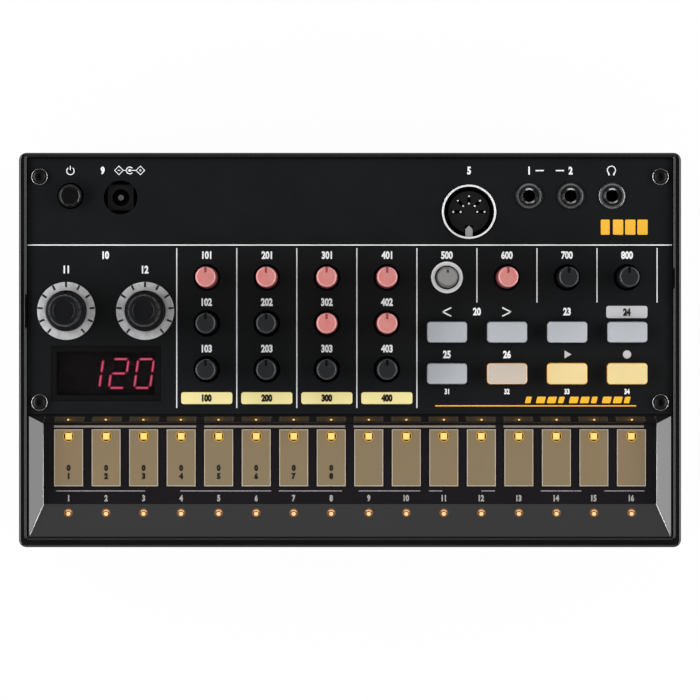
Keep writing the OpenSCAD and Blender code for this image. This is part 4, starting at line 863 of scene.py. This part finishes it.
def lightDigits():
    look = digitLook
    bright = bmesh.new()
    bright.from_mesh(nodes["display_segments"].data)
    bmesh.ops.remove_doubles(bright, verts=bright.verts, dist=edgeLook["merge"] * mm)
    dull = bright.copy()
    lit = [Vector((x + look["spots"][place][0], look["spots"][place][1])) * mm
           for digit, x in look["shown"] for place in litSegments[digit]]
    for shape, keepLit in ((bright, True), (dull, False)):
        drop = []
        for island in islandsOf(shape):
            middle = sum((vert.co.xy for vert in island), Vector((0, 0))) / len(island)
            isLit = any((middle - spot).length < look["near"] * mm for spot in lit)
            if isLit != keepLit:
                drop += island
        bmesh.ops.delete(shape, geom=drop, context="VERTS")
    bmesh.ops.dissolve_limit(bright, angle_limit=math.radians(edgeLook["flat"]), verts=bright.verts,
                             edges=bright.edges)
    tops = [face for face in bright.faces if face.normal.z > look["level"]]
    bmesh.ops.inset_individual(bright, faces=tops, thickness=look["core"] * mm, use_even_offset=True)
    bright.faces.index_update()
    cores = [face.index for face in tops]
    glowing = addPiece("digits_lit", bright, "segmentEdge", "segment_red")
    glowing.data.materials.append(finishes["segmentLit"])
    for core in cores:
        glowing.data.polygons[core].material_index = 1
    addPiece("digits_unlit", dull, "segmentDark", "segment_red")
    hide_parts("display_segments")
    # black border printed round the edge of the window
    mask = bmesh.new()
    addBar(mask, *look["window"])
    middle = mask.faces[:]
    bmesh.ops.inset_region(mask, faces=middle, thickness=look["border"], use_even_offset=True,
                           use_boundary=True)
    bmesh.ops.delete(mask, geom=middle, context="FACES_ONLY")
    layPrint("window_border", mask, panelTop, "borderBlack", "window_black", thick=look["borderThick"])


lightDigits()
print("display lit")

# painted shade in the knobs' pointer notches: dark fills stand in for the shade in each notch; finish,
# half width and start, mm
notchShadeLook = {
    "knob_dark": ("notchShadeBlack", 0.36, 1.1),
    "knob_pink": ("notchShadeRed", 0.28, 1.5),
    "knob_grey": ("notchShadeGrey", 0.28, 2.0),
}
pointerTip = 2.8         # from the knob's middle
pointerFoot, pointerTop = 44.6, 45.02
knobPlaces = {           # column and row
    "kick_click": (0, 0), "kick_pitch": (0, 1), "kick_decay": (0, 2),
    "snare_snappy": (1, 0), "snare_pitch": (1, 1), "snare_decay": (1, 2),
    "tom_high_pitch": (2, 0), "tom_low_pitch": (2, 1), "tom_decay": (2, 2),
    "hat_closed_decay": (3, 0), "hat_open_decay": (3, 1), "hat_grain": (3, 2),
    "sample_speed": (4, 0), "tempo": (5, 0), "part_level": (6, 0), "volume": (7, 0),
}


def addPointers():
    for name, (column, row) in knobPlaces.items():
        x, y = columnX[column], knobRowY[row]
        shape = bmesh.new()
        slot = recordSlots[name + "_knob"]
        finish, half, start = notchShadeLook[slot]
        addBar(shape, x - half, x + half, y + start, y + pointerTip)
        layPrint(name + "_notch_shade", shape, pointerFoot, finish, slot, body=name + "_knob",
                 thick=pointerTop - pointerFoot)


addPointers()
print("pointers set")

# sockets, screws, rim and tray

jackPlaces = [(52.2, 44.9), (64.3, 44.9), (76.4, 44.9)]
screwPlaces = [(x, y) for x in (-90.5, 90.5) for y in (50.5, -15.3)]
# on the black screws and jack collars the rings' lighter grey metal is partly painted highlight and
# partly real reflection from their turned profile
turnedRings = {          # places, closed profile of radius and height, finish and slot
    "socket_rings": (
        jackPlaces,
        ((1.8, 34.88), (1.8, 34.95), (2.25, 35.13), (2.4, 35.13), (2.5, 34.88)),
        "jackNickel", "shell_nickel"),
    "collar_edges": (
        jackPlaces,
        ((3.84, 34.7), (3.72, 34.8), (3.5, 34.92), (3.3, 34.98), (3.1, 34.98), (3.0, 34.88)),
        "collarRimHighlight", "socket_black"),
    "screw_edges": (
        screwPlaces,
        ((2.36, 34.6), (2.3, 34.95), (2.0, 35.15), (1.9, 35.18), (1.8, 35.1), (1.75, 34.9)),
        "screwRimHighlight", "screw_black"),
    "screw_drives": (
        screwPlaces,
        ((1.5, 34.9), (1.42, 35.16), (1.3, 35.18), (1.05, 34.99), (1.05, 34.8)),
        "screwDriveHighlight", "screw_black"),
}
contactLook = {
    "middle": (34.7, 40.3),
    "radii": (2.4, 4.6),
    "height": 33.42,
    "count": 5,
    "apart": 45,            # degrees
    "foot": 0.3,            # radii and length of a tip
    "tip": 0.24,
    "length": 0.85,
    "keyTop": 34,           # the shell's key is all that lies lower than this
}


def turnRings():
    for name, (places, profile, finish, slot) in turnedRings.items():
        shape = bmesh.new()
        for x, y in places:
            verts = [shape.verts.new((x + r, y, z)) for r, z in profile]
            edges = [shape.edges.new((vert, verts[i - 1])) for i, vert in enumerate(verts)]
            bmesh.ops.spin(shape, geom=verts + edges, cent=(x, y, 0), axis=(0, 0, 1),
                           angle=math.radians(360), steps=48, use_merge=True)
        bmesh.ops.recalc_face_normals(shape, faces=shape.faces)
        bmesh.ops.transform(shape, matrix=Matrix.Scale(mm, 4), verts=shape.verts)
        addPiece(name, shape, finish, slot)


# tips of the round socket's contacts, and the lighter key of its shell
def dressDataSocket():
    look = contactLook
    x, y = look["middle"]
    shape = bmesh.new()
    for step in range(look["count"]):
        angle = math.radians(look["apart"] * step)
        for r in look["radii"]:
            spot = (x + r * math.cos(angle), y + r * math.sin(angle), look["height"])
            bmesh.ops.create_cone(shape, cap_ends=True, segments=16, radius1=look["foot"],
                                  radius2=look["tip"], depth=look["length"],
                                  matrix=Matrix.Translation(spot))
    bmesh.ops.transform(shape, matrix=Matrix.Scale(mm, 4), verts=shape.verts)
    addPiece("contact_tips", shape, "contactTin", "contact_tin")
    shell = bpy.data.objects["data_socket_shell_soft"].data
    shell.materials.append(finishes["keySteel"])
    for face in shell.polygons:
        if face.center.z < look["keyTop"] * mm:
            face.material_index = 1


beadLook = {
    "halfLength": 94.87,
    "back": 56.95,
    "front": -55.3,
    "corner": 1.3,
    "height": 35.29,
    # way in and way up of each facet, mm
    "steps": ((0.06, 0.07), (0.035, 0.019), (0.14, 0.041), (0.14, 0.0), (0.05, -0.014), (0.12, -0.095),
              (0.05, -0.021)),
}


# fine bead round the inner edge of the rim
def addRimBead():
    look = beadLook
    half = look["halfLength"]
    shape = bmesh.new()
    addBar(shape, -half, half, look["front"], look["back"], corner=look["corner"])
    middle = shape.faces[:]
    for wayIn, wayUp in look["steps"]:
        bmesh.ops.inset_region(shape, faces=middle, thickness=wayIn, depth=wayUp, use_even_offset=True,
                               use_boundary=True)
    bmesh.ops.delete(shape, geom=middle, context="FACES_ONLY")
    bmesh.ops.bridge_loops(shape, edges=[edge for edge in shape.edges if edge.is_boundary])
    bmesh.ops.recalc_face_normals(shape, faces=shape.faces)
    place = Matrix.Translation((0, 0, look["height"] * mm)) @ Matrix.Scale(mm, 4)
    bmesh.ops.transform(shape, matrix=place, verts=shape.verts)
    addPiece("rim_bead", shape, "caseGloss", "case_black")


# painted highlights: pale lines on the tray's front mitres and at its sides' feet, where the rounded
# corners catch the light: low end, high end and radius
mitreLook = {
    "lines": (((89.6, -45.0, 31.5), (93.55, -54.4, 34.5), 0.19),
              ((89.72, -45.0, 31.56), (89.72, -21.6, 31.56), 0.15)),
    "lift": 0.03,
    "taper": 0.75,
}


def addMitreLines():
    look = mitreLook
    shape = bmesh.new()
    for side in (-1, 1):
        for low, high, radius in look["lines"]:
            low = Vector((side * low[0], *low[1:]))
            high = Vector((side * high[0], *high[1:]))
            along = high - low
            made = bmesh.ops.create_cone(shape, cap_ends=True, segments=8, radius1=radius,
                                         radius2=radius * look["taper"], depth=along.length)
            place = Matrix.Translation((low + high) / 2 + Vector((0, 0, look["lift"]))) @ \
                along.to_track_quat("Z", "Y").to_matrix().to_4x4()
            bmesh.ops.transform(shape, matrix=place, verts=made["verts"])
    bmesh.ops.transform(shape, matrix=Matrix.Scale(mm, 4), verts=shape.verts)
    addPiece("painted_mitre_highlights", shape, "mitreHighlight", "case_black", smooth=True)


stripLook = {
    "halfLength": 89.0,
    "halfHeight": 1.72,
    "middle": (0, -20.4, 33.0),
    "run": 2.2,             # width of the back wall in plan, mm
    "thick": 0.04,
}


# polished strip on the tray's steep back wall, in which the pads show
def addWallStrip():
    look = stripLook
    shape = bmesh.new()
    addBar(shape, -look["halfLength"], look["halfLength"], -look["halfHeight"], look["halfHeight"])
    piece = layPrint("wall_strip", shape, 0.0, "wallGloss", "case_black", thick=look["thick"])
    slope = math.atan2(trayDepth, look["run"])
    lean = Matrix.Translation(look["middle"]) @ Matrix.Rotation(slope, 4, "X")
    piece.data.transform(Matrix.Scale(mm, 4) @ lean @ Matrix.Scale(1 / mm, 4))


turnRings()
dressDataSocket()
addRimBead()
addMitreLines()
addWallStrip()
print("sockets, rim and tray dressed")

# dial scales

tickLook = {
    "dialX": (-82.7, -59.7),
    "dialY": 11.4,
    "count": 11,
    "apart": 28,            # degrees
    "start": 7.05,          # from the dial's middle, mm
    "length": 1.14,
    "width": 0.6,
    "rise": 0.61,           # above the panel
    "thick": 0.21,
}


# black paint in the engraved ticks of the two scale rings
def fillTicks():
    look = tickLook
    shape = bmesh.new()
    for x in look["dialX"]:
        for tick in range(look["count"]):
            angle = math.radians(look["apart"] * (tick - (look["count"] - 1) / 2) + 90)
            way = Vector((math.cos(angle), math.sin(angle)))
            start = Vector((x, look["dialY"])) + way * look["start"]
            addStroke(shape, start, start + way * look["length"], look["width"])
    layPrint("scale_ticks", shape, panelTop + look["rise"], "tickBlack", "ring_metal",
             thick=look["thick"])


fillTicks()
print("scales inked")
